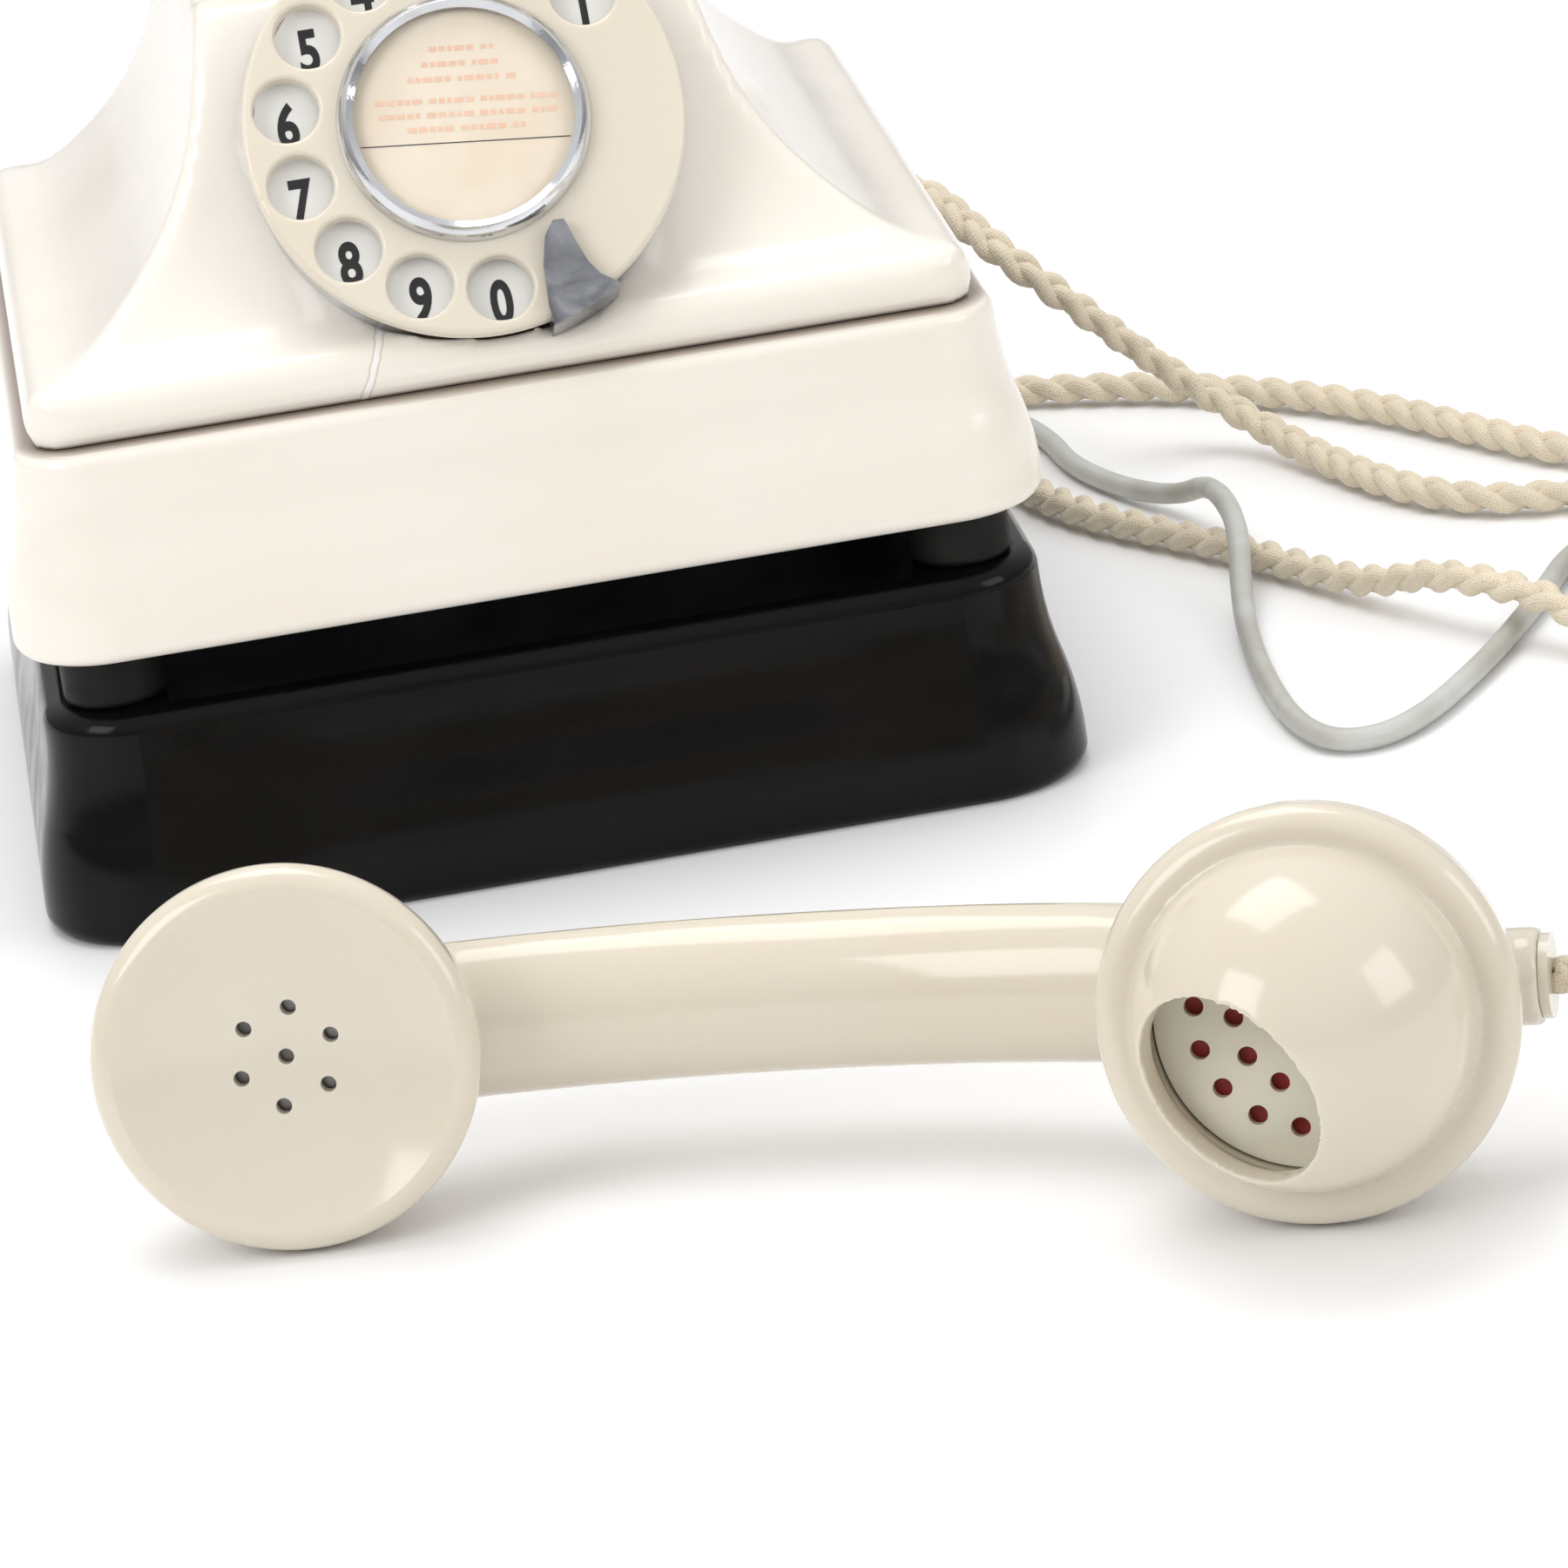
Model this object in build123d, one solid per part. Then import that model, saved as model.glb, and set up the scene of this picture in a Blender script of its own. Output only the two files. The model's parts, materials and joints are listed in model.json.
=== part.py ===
from build123d import *
import math
import os

"""Desk telephone with a rotary dial, standing on a separate bell set, with its handset lying in front.

Millimetres, +Z up. The origin is the centre of the bell set's flat base. +X is to the right of someone
facing the dial, and -Y points towards them.
"""

os.makedirs("parts", exist_ok=True)

# ---- running clearances ----
FREE = 0.3            # between pieces that move past each other
RUNNING = 0.06        # radial, shaft in its hole
LOOSE = 0.15          # between pieces that are fitted but don't move

# ---- bell set ----
BELL_FOOT = 93.5      # half width at the table
BELL_TOP = 88.5       # half width under the top edge
BELL_HEIGHT = 41.0
BELL_CORNER = 16.0    # corner radius under the top edge
BELL_WALL = 3.5
BELL_EDGE = 4.0       # rounding of the top edge
BELL_LIP = 3.0        # rounding of the foot lip
BELL_PLATE = 2.0      # steel base plate
PLATE_LIFT = 1.0      # base plate above the table

GONG_RADIUS = 26.0
GONG_HEIGHT = 14.0
GONG_WALL = 1.4
GONG_GAP = 12.0       # between the rims of the two gongs
GONG_Y = -44.0
GONG_RIM_Z = 12.0
POST_RADIUS = 4.0
HAMMER_RADIUS = 3.5
ARMATURE_Y = 8.0
RINGER_Z = 19.0
COIL_RADIUS = 9.0
COIL_LENGTH = 34.0
COIL_SPREAD = 15.0

# ---- telephone body ----
FOOT_HEIGHT = 10.0
FOOT_RADIUS = 9.0
PLINTH_FOOT = 91.0
PLINTH_TOP = 86.0
PLINTH_HEIGHT = 37.0
PLINTH_CORNER = 12.0
PLINTH_WALL = 4.0
PLINTH_EDGE = 3.0
PLINTH_FLANGE = 9.0   # width of the ledge that carries the upper case
PLATE_SETBACK = 1.5   # base plate above the plinth's lower edge
PHONE_PLATE = 2.0

CASE_HALF = 83.0      # half width of the upper case at its joint with the plinth
CASE_CORNER = 9.0
CASE_BAND = 5.0       # height of its upright band
CASE_WALL = 3.5       # side wall, measured level
CASE_ROOF = 2.6       # the same wall, measured upright
NECK_X = 40.0         # half width of the neck under the cradle
NECK_Y = 31.0
NECK_RISE = 80.0      # neck above the joint
CRADLE_X = 60.0
CRADLE_Y = 35.0
CRADLE_RISE = 102.0   # top of the horns above the joint
GROOVE_HALF = 21.0    # half width of the groove that the handset lies in
GROOVE_DEPTH = 20.0
HORN_LENGTH = 36.0    # each horn along X
ACROSS = [(66, 16), (49, 38), (41.5, 66)]        # front outline: half width and rise above the joint
ALONG = [(68.5, 16), (60.2, 30), (40.5, 64)]     # side outline, the same way

# ---- dial ----
DIAL_Y = -68.0
DIAL_RISE = 43.0      # centre of the finger plate above the joint
DIAL_LEAN = 30.0      # degrees that the dial looks up
PLATE_RADIUS = 38.1
PLATE_THICK = 3.2
HOLE_CIRCLE = 30.5
HOLE_RADIUS = 5.7
HOLE_ROLL = 0.8       # rounding round each finger hole
RIM_ROUND = 0.9       # rounding of the finger plate's edge
FIRST_HOLE = 38.0     # degrees, anticlockwise from the right
HOLE_STEP = 26.0
HOLES = 10
BEZEL_OUTER = 22.0
BEZEL_INNER = 19.0
BEZEL_RISE = 3.4
NUMBER_RADIUS = 36.0
NUMBER_BACK = 5.4     # number plate's back, behind the finger plate's face
NUMBER_THICK = 1.0
RING_RADIUS = 37.1
RING_DEPTH = 14.0     # seat of the dial ring, behind the finger plate's face
RING_WALL = 1.9
SEAT_THICK = 3.2
SEAT_HOLE = 33.0
STOP_ANGLE = -59.0
STOP_REACH = 24.0     # radius of the finger stop's tip
SPINDLE_RADIUS = 2.5
GEAR_RADIUS = 20.0
GEAR_TEETH = 40
PINION_RADIUS = 3.5
PINION_TEETH = 7
CUP_RADIUS = 8.0
GEAR_THICK = 1.5
GOVERNOR_TURN = 65.0  # degrees, anticlockwise from the right

# ---- cradle switch ----
PLUNGER_RADIUS = 4.0
PLUNGER_PLACE = 30.0
PLUNGER_PROUD = 7.0
PLUNGER_TRAVEL = 6.0
BAR_Z = 148.0         # underside of the crossbar
LEVER_REACH = 20.0

# ---- handset ----
EAR_PLACE = (-59.5, -235.1, 31.2)     # centre of the ear cap's rim
MOUTH_PLACE = (90.3, -290.0, 32.4)    # centre of the mouthpiece's flange
FACING_RISE = 11.2    # degrees that the caps look up
EAR_TURN = 10.5       # degrees that the ear cap turns in towards the mouthpiece
MOUTH_TURN = 1.5
EAR_RADIUS = 30.3
EAR_DEPTH = 11.0
MOUTH_RADIUS = 32.0
MOUTH_DEPTH = 9.0
CUP_DEPTH = 14.0
CUP_WALL = 3.0
HORN_RISE = 27.0
HORN_RADIUS = 26.0
HANDLE_HIGH = 25.0
HANDLE_THICK = 19.0
HANDLE_ARCH = 38.0    # handle's middle behind the rims
SOUND_HOLE = 1.25     # radius of the ear cap's holes
SOUND_RING = 7.8
GRILLE_HOLE = 1.5
MOUTH_TWIST = 36.0    # degrees that the hood's mouth turns down from the ear's direction
MOUTH_LEAN = 45.0     # degrees that the mouth looks away from the facing direction
MOUTH_OPENING = 16.0  # radius of the mouth
MOUTH_REACH = 12.5    # mouth's centre from the flange's axis
MOUTH_RISE = 17.0

# ---- fastenings and cord outlets ----
SCREW_RADIUS = 1.8
SCREW_EDGE = 12.5      # bell set's and case's screws inside their walls
PLINTH_SCREW_EDGE = 8.0
GROMMET_RADIUS = 5.0
GROMMET_Z = 9.0       # bell set's outlets above the table
OUTLET_RISE = 9.0     # telephone's outlets above the plinth's lower edge
HANDSET_OUT_X = 52.0
LINK_OUT_X = 14.0
LINK_LOW_X = 50.0
LINE_X = 28.0

# ---- cords ----
PLAIT = 7.0           # diameter of the plaited cords
CABLE = 5.0           # diameter of the line cable
COIL_TURN = 40.0      # radius at the middle of a plaited coil's turns
CABLE_TURN = 27.5
BEND_SHARE = 0.45     # share of a run that one arc may take

# ---- levels and frames worked out from the sizes above ----
FOOT_PLACE = BELL_TOP - 13.5
BELL_SCREW = BELL_TOP - SCREW_EDGE
PHONE_SCREW = PLINTH_TOP - PLINTH_SCREW_EDGE
CASE_SCREW = CASE_HALF - SCREW_EDGE - 0.5
OUTLET_FACE = PLINTH_FOOT + 4
BELL_FACE = BELL_FOOT + 3.5
PHONE_Z = BELL_HEIGHT + FOOT_HEIGHT
JOINT_Z = PHONE_Z + PLINTH_HEIGHT
NECK_Z = JOINT_Z + NECK_RISE
CRADLE_Z = JOINT_Z + CRADLE_RISE
GROOVE_Z = CRADLE_Z - GROOVE_DEPTH
PHONE_PLATE_Z = PHONE_Z + PLATE_SETBACK
DIAL_CENTRE = (0.0, DIAL_Y, JOINT_Z + DIAL_RISE)
LEAN = math.radians(DIAL_LEAN)
DIAL = Plane(DIAL_CENTRE, x_dir=(1, 0, 0), z_dir=(0, -math.cos(LEAN), math.sin(LEAN))).location
OUTLET_Z = PHONE_Z + OUTLET_RISE
GONG_X = GONG_RADIUS + GONG_GAP / 2
CHASSIS_TOP = 2 - RING_DEPTH
GEAR_TOP = -RING_DEPTH - 5
GOVERNOR_REACH = GEAR_RADIUS + PINION_RADIUS + FREE
GOVERNOR_LOW = GEAR_TOP - 17
PLATE_TOP = PLATE_LIFT + BELL_PLATE


def handset_frame():
    """Frame in the middle of the handset: X from ear to mouth, Z the way the caps face."""
    ear = Vector(*EAR_PLACE)
    mouth = Vector(*MOUTH_PLACE)
    along = (mouth - ear).normalized()
    side = Vector(along.Y, -along.X, 0).normalized()
    rise = math.radians(FACING_RISE)
    facing = side * math.cos(rise) + side.cross(along) * math.sin(rise)
    return Plane((ear + mouth) / 2, x_dir=along, z_dir=facing).location


HANDSET = handset_frame()
SPAN = (Vector(*MOUTH_PLACE) - Vector(*EAR_PLACE)).length
EAR_LOCAL = Pos(-SPAN / 2, 0, 0) * Rot(0, EAR_TURN, 0)
MOUTH_LOCAL = Pos(SPAN / 2, 0, 0) * Rot(0, MOUTH_TURN, 0)
CORD_END = Pos(SPAN / 2 + MOUTH_RADIUS + 2, 0, -MOUTH_DEPTH - 14) * Rot(0, 90, 0)


def save(name, shape):
    """Write one sub-part to its own file."""
    solids = shape.solids()
    export_step(Compound(children=list(solids)) if len(solids) > 1 else solids[0], f"parts/{name}.step")


def disc(radius, low, high):
    """Upright cylinder between two levels."""
    return Pos(0, 0, low) * Cylinder(radius, high - low, align=(Align.CENTER, Align.CENTER, Align.MIN))


def tube(outer, inner, low, high):
    """Upright ring between two levels."""
    return disc(outer, low, high) - disc(inner, low - 1, high + 1)


def slab(half_x, half_y, low, high, corner):
    """Rounded plate between two levels."""
    return Pos(0, 0, low) * extrude(RectangleRounded(2 * half_x, 2 * half_y, corner), high - low)


def block(x0, x1, y0, y1, z0, z1):
    """Box between given faces."""
    return Pos((x0 + x1) / 2, (y0 + y1) / 2, (z0 + z1) / 2) * Box(x1 - x0, y1 - y0, z1 - z0)


def four(place_x, place_y, piece):
    """The same piece at four places, mirrored in X and Y."""
    group = Part()
    for x in (-place_x, place_x):
        for y in (-place_y, place_y):
            group += Pos(x, y, 0) * piece
    return group


# ---- square skirts with an S-curved side ----

def s_curve(foot, top):
    """Two equal arcs, upright at both ends: convex below, hollow above."""
    middle = ((foot[0] + top[0]) / 2, (foot[1] + top[1]) / 2)
    lower = TangentArc(foot, middle, tangent=(0, 1))
    upper = TangentArc(middle, top, tangent=lower % 1)
    return lower, upper


def skirt_section(foot, top, low, high, wall, edge, lip):
    """Section through a skirt's wall and its top flange, with the flange's inner edge at 0."""
    outer_low, outer_high = s_curve((foot, low + lip), (top, high - edge))
    inner_low, inner_high = s_curve((foot - wall, low + lip), (top - wall, high - wall))
    return make_face([
        Line((foot - wall, low), (foot - lip, low)),
        TangentArc((foot - lip, low), (foot, low + lip), tangent=(1, 0)),
        outer_low,
        outer_high,
        TangentArc((top, high - edge), (top - edge, high), tangent=(0, 1)),
        Line((top - edge, high), (0, high)),
        Line((0, high), (0, high - wall)),
        Line((0, high - wall), (top - wall, high - wall)),
        inner_high,
        inner_low,
        Line((foot - wall, low + lip), (foot - wall, low)),
    ])


def square_ring(section, half, corner):
    """Carry a section round a square with round corners."""
    run = half - corner
    face = Plane.XZ * section
    side = extrude(Pos(half, run, 0) * face, 2 * run)
    quarter = Pos(run, run, 0) * revolve(Pos(corner, 0, 0) * face, Axis.Z, 90)
    ring = Part()
    for turn in range(4):
        ring += Rot(0, 0, 90 * turn) * (side + quarter)
    return ring


# ---- bell set ----

def bell_case():
    """Black moulded case with a closed top, corner bosses and two cord holes at the back."""
    core = BELL_TOP - BELL_CORNER + 6
    corner = core - (BELL_TOP - BELL_CORNER)
    section = skirt_section(BELL_FOOT - core, BELL_TOP - core, 0, BELL_HEIGHT, BELL_WALL, BELL_EDGE, BELL_LIP)
    case = square_ring(section, core, corner)
    case += slab(core, core, BELL_HEIGHT - BELL_WALL, BELL_HEIGHT, corner)
    boss = disc(5, PLATE_TOP, BELL_HEIGHT - BELL_WALL)
    case += four(BELL_SCREW, BELL_SCREW, boss)
    case -= four(BELL_SCREW, BELL_SCREW, disc(SCREW_RADIUS + RUNNING, 0, 16))
    for x in (LINK_LOW_X, LINE_X):
        case -= Pos(x, BELL_FOOT, GROMMET_Z) * Rot(90, 0, 0) * Cylinder(GROMMET_RADIUS + RUNNING, 30)
    return case


def grommet(radius, bore, length, flange):
    """Rubber cord bush along +Y, with its outer face at 0."""
    bush = Rot(-90, 0, 0) * (disc(radius, -length, 0) + disc(radius + flange, -2.4, 0))
    return bush - Rot(-90, 0, 0) * disc(bore, -length - 1, -3)


def bell_base_plate():
    """Steel plate that closes the bell set from below."""
    half = BELL_FOOT - BELL_WALL - 3
    plate = slab(half, half, PLATE_LIFT, PLATE_TOP, BELL_CORNER)
    return plate - four(BELL_SCREW, BELL_SCREW, disc(SCREW_RADIUS + RUNNING, 0, 9))


def bell_screws():
    """Four screws up through the plate into the corner bosses, with sunk heads."""
    sunk = disc(SCREW_RADIUS, PLATE_LIFT, 15)
    return four(BELL_SCREW, BELL_SCREW, sunk)


def gong(side):
    """One bell: a shallow dome on its post."""
    crown = GONG_RIM_Z + GONG_HEIGHT
    outline = make_face([
        Line((GONG_RADIUS, GONG_RIM_Z), (GONG_RADIUS - GONG_WALL, GONG_RIM_Z)),
        ThreePointArc((GONG_RADIUS - GONG_WALL, GONG_RIM_Z), (18, crown - 5), (9, crown - GONG_WALL)),
        Line((9, crown - GONG_WALL), (2.2, crown - GONG_WALL)),
        Line((2.2, crown - GONG_WALL), (2.2, crown)),
        Line((2.2, crown), (9.3, crown)),
        ThreePointArc((9.3, crown), (19, crown - 3.9), (GONG_RADIUS, GONG_RIM_Z)),
    ])
    return Pos(side * GONG_X, GONG_Y, 0) * revolve(Plane.XZ * outline, Axis.Z, 360)


def gong_posts():
    """Two posts that hold the gongs up from the plate."""
    post = disc(POST_RADIUS, PLATE_TOP, GONG_RIM_Z + GONG_HEIGHT - GONG_WALL)
    return Pos(-GONG_X, GONG_Y, 0) * post + Pos(GONG_X, GONG_Y, 0) * post


def gong_screws():
    """Round screw on top of each gong."""
    top = GONG_RIM_Z + GONG_HEIGHT
    head = disc(4.5, top, top + 2.4) + disc(2.1, top - GONG_WALL, top)
    head -= Pos(0, 0, top + 2.4) * Box(12, 1, 1.6)
    return Pos(-GONG_X, GONG_Y, 0) * head + Pos(GONG_X, GONG_Y, 0) * head


def ringer_yoke():
    """Bent iron frame that carries the coils at the back and the armature's pivot in front."""
    back = ARMATURE_Y + 6 + COIL_LENGTH
    yoke = block(-27, 27, back, back + 4, PLATE_TOP, RINGER_Z + 10)
    yoke += block(-27, 27, back, back + 16, PLATE_TOP, PLATE_TOP + 3)
    yoke += block(-4, 4, ARMATURE_Y - 6, back + 1, PLATE_TOP, PLATE_TOP + 3)
    yoke += Pos(0, ARMATURE_Y, 0) * disc(4, PLATE_TOP, RINGER_Z - 6)
    return yoke - Pos(0, ARMATURE_Y, 0) * disc(1.5, PLATE_TOP + 2, 40)


def ringer_coils():
    """Two wound coils on their cores, between two cheeks each."""
    front = ARMATURE_Y + 6
    coil = disc(COIL_RADIUS, 1.5, COIL_LENGTH - 1.5)
    coil += disc(COIL_RADIUS + 1, 0, 1.5) + disc(COIL_RADIUS + 1, COIL_LENGTH - 1.5, COIL_LENGTH)
    pair = Part()
    for x in (-COIL_SPREAD, COIL_SPREAD):
        pair += Pos(x, front, RINGER_Z) * Rot(-90, 0, 0) * coil
    return pair


def ringer_magnet():
    """Bar magnet that lies over the coils and bears on the yoke."""
    back = ARMATURE_Y + 6 + COIL_LENGTH
    low = RINGER_Z + COIL_RADIUS + 1
    return block(-8, 8, ARMATURE_Y + 8, back + 4, low, low + 5)


def armature():
    """Iron bar that rocks in front of the coils on an upright pin."""
    bar = block(-24, 24, ARMATURE_Y - 1.5, ARMATURE_Y + 1.5, RINGER_Z - 5, RINGER_Z + 5)
    bar += Pos(0, ARMATURE_Y, 0) * disc(4, RINGER_Z - 5.7, RINGER_Z + 5)
    return bar - Pos(0, ARMATURE_Y, 0) * disc(1.5 + RUNNING, 0, 60)


def armature_pin():
    """Fixed pin that the armature rocks on."""
    return Pos(0, ARMATURE_Y, 0) * disc(1.5, PLATE_TOP + 2, RINGER_Z + 6)


def clapper():
    """Wire and hammer ball on the armature."""
    ball = Pos(0, GONG_Y, RINGER_Z - 1) * Sphere(HAMMER_RADIUS)
    reach = ARMATURE_Y - 4 - GONG_Y
    wire = Pos(0, GONG_Y, RINGER_Z - 1) * Rot(-90, 0, 0) * disc(1, 0, reach)
    return ball + wire


def bell_capacitor():
    """Block capacitor with two tags."""
    can = fillet(block(-78, -34, 30, 52, PLATE_TOP, PLATE_TOP + 24).edges().filter_by(Axis.Z), 2)
    tags = block(-70, -67, 38, 44, PLATE_TOP + 24, PLATE_TOP + 28)
    return can + tags + Pos(24, 0, 0) * tags


def terminal_block(length, depth, low, pins):
    """Moulded block with a row of terminal screws."""
    body = block(-length / 2, length / 2, -depth / 2, depth / 2, low, low + 8)
    pitch = length / pins
    for k in range(pins):
        x = -length / 2 + (k + 0.5) * pitch
        body += Pos(x, 0, 0) * (disc(2.4, low + 8, low + 10) - Pos(0, 0, low + 10) * Box(6, 0.8, 1.4))
    return body


# ---- telephone body ----


def square_bosses(place, radius, bore, low, high):
    """Four drilled bosses near the corners."""
    return four(place, place, disc(radius, low, high) - disc(bore, low - 1, high + 1))


def rear_holes(places, level, face_y):
    """Drills for the cord bushes through a rear wall."""
    holes = Part()
    for x in places:
        holes += Pos(x, face_y, level) * Rot(90, 0, 0) * Cylinder(GROMMET_RADIUS + RUNNING, 24)
    return holes


def plinth():
    """Ivory skirt with an S-curved side and a flat ledge on top."""
    core = PLINTH_TOP - PLINTH_FLANGE
    section = skirt_section(PLINTH_FOOT - core, PLINTH_TOP - core, PHONE_Z, JOINT_Z,
                            PLINTH_WALL, PLINTH_EDGE, PLINTH_EDGE)
    ring = square_ring(section, core, PLINTH_CORNER - PLINTH_FLANGE)
    under = JOINT_Z - PLINTH_WALL
    ring += square_bosses(PHONE_SCREW, 4.5, SCREW_RADIUS + RUNNING, PHONE_PLATE_Z + PHONE_PLATE, under)
    ring -= four(CASE_SCREW, CASE_SCREW, disc(SCREW_RADIUS + RUNNING, under - 1, JOINT_Z + 1))
    return ring - rear_holes((HANDSET_OUT_X, LINK_OUT_X), OUTLET_Z, PLINTH_FOOT)


def phone_base_plate():
    """Steel plate that closes the telephone from below."""
    half = PLINTH_FOOT - PLINTH_WALL - 2
    plate = slab(half, half, PHONE_PLATE_Z, PHONE_PLATE_Z + PHONE_PLATE, PLINTH_CORNER)
    plate -= four(PHONE_SCREW, PHONE_SCREW, disc(SCREW_RADIUS + RUNNING, PHONE_Z, PHONE_Z + 9))
    return plate


def rubber_feet():
    """Four round feet under the base plate, standing on the bell set."""
    foot = disc(FOOT_RADIUS, BELL_HEIGHT, PHONE_PLATE_Z)
    foot = fillet(foot.edges().group_by(Axis.Z)[0], 1.5)
    return four(FOOT_PLACE, FOOT_PLACE, foot)


def base_screws():
    """Screws from the base plate up into the plinth's bosses."""
    return four(PHONE_SCREW, PHONE_SCREW, disc(SCREW_RADIUS, PHONE_PLATE_Z, PHONE_PLATE_Z + 12))


def case_screws():
    """Screws from under the ledge up into the upper case."""
    under = JOINT_Z - PLINTH_WALL
    return four(CASE_SCREW, CASE_SCREW, disc(SCREW_RADIUS, under, JOINT_Z + 4) + disc(3.2, under - 1.6, under))


def half_outline(inset, drop, neck, slope, flare):
    """Right half of the upper case's outline: band, shoulder, hollow sweep to the neck, flare on top."""
    base = CASE_HALF - inset
    band = JOINT_Z + CASE_BAND - drop
    lines = [Line((base, JOINT_Z - drop), (base, band))]
    lines.append(TangentArc((base, band), (base - 4.6, band + 5), tangent=(0, 1)))
    start = lines[-1] @ 1
    points = [(x - inset, JOINT_Z + rise - drop) for x, rise in slope]
    top = (neck - inset, NECK_Z - drop)
    lines.append(Spline((start.X, start.Y), *points, top, tangents=(lines[-1] % 1, (0, 1))))
    if flare:
        lines.append(TangentArc(top, (flare, NECK_Z + 1.15 * (flare - neck)), tangent=(0, 1)))
        lines.append(Line(lines[-1] @ 1, (flare, CRADLE_Z)))
    ends = lines[-1] @ 1
    lines.append(Line(ends, (0, ends.Y)))
    lines.append(Line((0, ends.Y), (0, JOINT_Z - drop)))
    lines.append(Line((0, JOINT_Z - drop), (base, JOINT_Z - drop)))
    half = make_face(lines)
    return half + mirror(half, Plane.YZ)


def case_solid(inset, drop, flare_x, flare_y):
    """Solid between the front outline, the side outline and the rounded plan."""
    deep = 4 * CASE_HALF
    front = extrude(Pos(0, deep / 2, 0) * (Plane.XZ * half_outline(inset, drop, NECK_X, ACROSS, flare_x)), deep)
    side = extrude(Pos(-deep / 2, 0, 0) * (Plane.YZ * half_outline(inset, drop, NECK_Y, ALONG, flare_y)), deep)
    half = CASE_HALF - inset
    plan = slab(half, half, JOINT_Z - drop, CRADLE_Z, max(CASE_CORNER - inset, 1))
    return front & side & plan


def upper_case():
    """Ivory pyramid with hollow sides, a seat for the dial and the cradle's four horns."""
    outer = case_solid(0, 0, CRADLE_X, CRADLE_Y)
    case = outer - case_solid(CASE_WALL, CASE_ROOF, None, None)
    case -= slab(CASE_HALF - CASE_WALL, CASE_HALF - CASE_WALL, JOINT_Z - 9, JOINT_Z + 2, CASE_CORNER - CASE_WALL)
    collar = DIAL * disc(RING_RADIUS + 3.2, -RING_DEPTH - SEAT_THICK, 12)
    case += collar & outer
    case += four(CASE_SCREW, CASE_SCREW, disc(4.5, JOINT_Z, JOINT_Z + 16)) & outer
    case -= four(CASE_SCREW, CASE_SCREW, disc(SCREW_RADIUS + RUNNING, JOINT_Z - 1, JOINT_Z + 6))
    case -= DIAL * disc(RING_RADIUS + FREE, -RING_DEPTH, 30)
    case -= DIAL * disc(SEAT_HOLE, -RING_DEPTH - 40, 0)
    case -= DIAL * stop_shape(0.5, 1.5)
    groove = block(-80, 80, -GROOVE_HALF, GROOVE_HALF, GROOVE_Z, CRADLE_Z + 5)
    case -= fillet(groove.edges().filter_by(Axis.X).group_by(Axis.Z)[0], 12)
    gap = CRADLE_X - HORN_LENGTH
    case -= block(-gap, gap, -50, 50, GROOVE_Z, CRADLE_Z + 5)
    for x in (-PLUNGER_PLACE, PLUNGER_PLACE):
        case -= Pos(x, 0, 0) * disc(PLUNGER_RADIUS + RUNNING, NECK_Z - 12, CRADLE_Z)
    return case


# ---- dial, in its own frame: Z out of the telephone, 0 at the finger plate's face ----

def finger_plate():
    """Disc with ten rolled finger holes and a rounded rim."""
    plate = disc(PLATE_RADIUS, -PLATE_THICK, 0)
    plate = fillet(plate.edges().group_by(Axis.Z)[-1], RIM_ROUND)
    for k in range(HOLES):
        turn = Rot(0, 0, FIRST_HOLE + HOLE_STEP * k)
        plate -= turn * Pos(HOLE_CIRCLE, 0, 0) * disc(HOLE_RADIUS, -PLATE_THICK - 1, 1)
    rolled = [edge for edge in plate.edges().group_by(Axis.Z)[-1] if edge.radius < 2 * HOLE_RADIUS]
    return fillet(rolled, HOLE_ROLL)


def bezel():
    """Polished ring that holds the window over the label."""
    outline = make_face([
        Line((BEZEL_INNER + 1.2, 0), (BEZEL_OUTER, 0)),
        ThreePointArc((BEZEL_OUTER, 0), (BEZEL_OUTER - 0.8, 2.4), (BEZEL_INNER + 1.2, BEZEL_RISE)),
        Line((BEZEL_INNER + 1.2, BEZEL_RISE), (BEZEL_INNER, BEZEL_RISE - 0.8)),
        Line((BEZEL_INNER, BEZEL_RISE - 0.8), (BEZEL_INNER, 1.8)),
        Line((BEZEL_INNER, 1.8), (BEZEL_INNER + 1.2, 1.8)),
        Line((BEZEL_INNER + 1.2, 1.8), (BEZEL_INNER + 1.2, 0)),
    ])
    return revolve(Plane.XZ * outline, Axis.Z, 360)


def stop_shape(grow, deepen):
    """Finger stop: a foot beside the ring, a tab over the rim and a blade over the holes."""
    outside = PLATE_RADIUS + 0.6 - grow
    foot = tube(outside + 1.3 + 2 * grow, RING_RADIUS + LOOSE, -NUMBER_BACK - 1.1 - deepen, -NUMBER_BACK + 0.2)
    tab = tube(outside + 1.3 + 2 * grow, outside, -NUMBER_BACK - 1.1, 2.6)
    blade = disc(outside + 1.3, 1.4, 2.6)
    wedge = Polyline((STOP_REACH, -0.8), (STOP_REACH + 1, 0.8), (STOP_REACH + 2.3, 0.6), (29, -0.1 + grow),
                     (33.3, -0.9 + grow), (36.5, -0.7 + grow), (39.3, 0.6 + grow), (41 + grow, 0.8 + grow),
                     (41 + grow, -14 - grow), (37.9, -12.5 - grow), (34.8, -11 - grow), (29, -7.2),
                     (25.3, -3.7), close=True)
    limits = extrude(make_face(wedge), 30)
    return Rot(0, 0, STOP_ANGLE) * ((foot + tab + blade) & (Pos(0, 0, -15) * limits))


def dial_ring():
    """Metal cup of the dial, open at the back, that carries the number plate."""
    low = -NUMBER_BACK
    cup = disc(RING_RADIUS, -RING_DEPTH, low) - disc(RING_RADIUS - RING_WALL, -RING_DEPTH - 1, low - 1.6)
    return cup - disc(12, -RING_DEPTH, 0)


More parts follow.
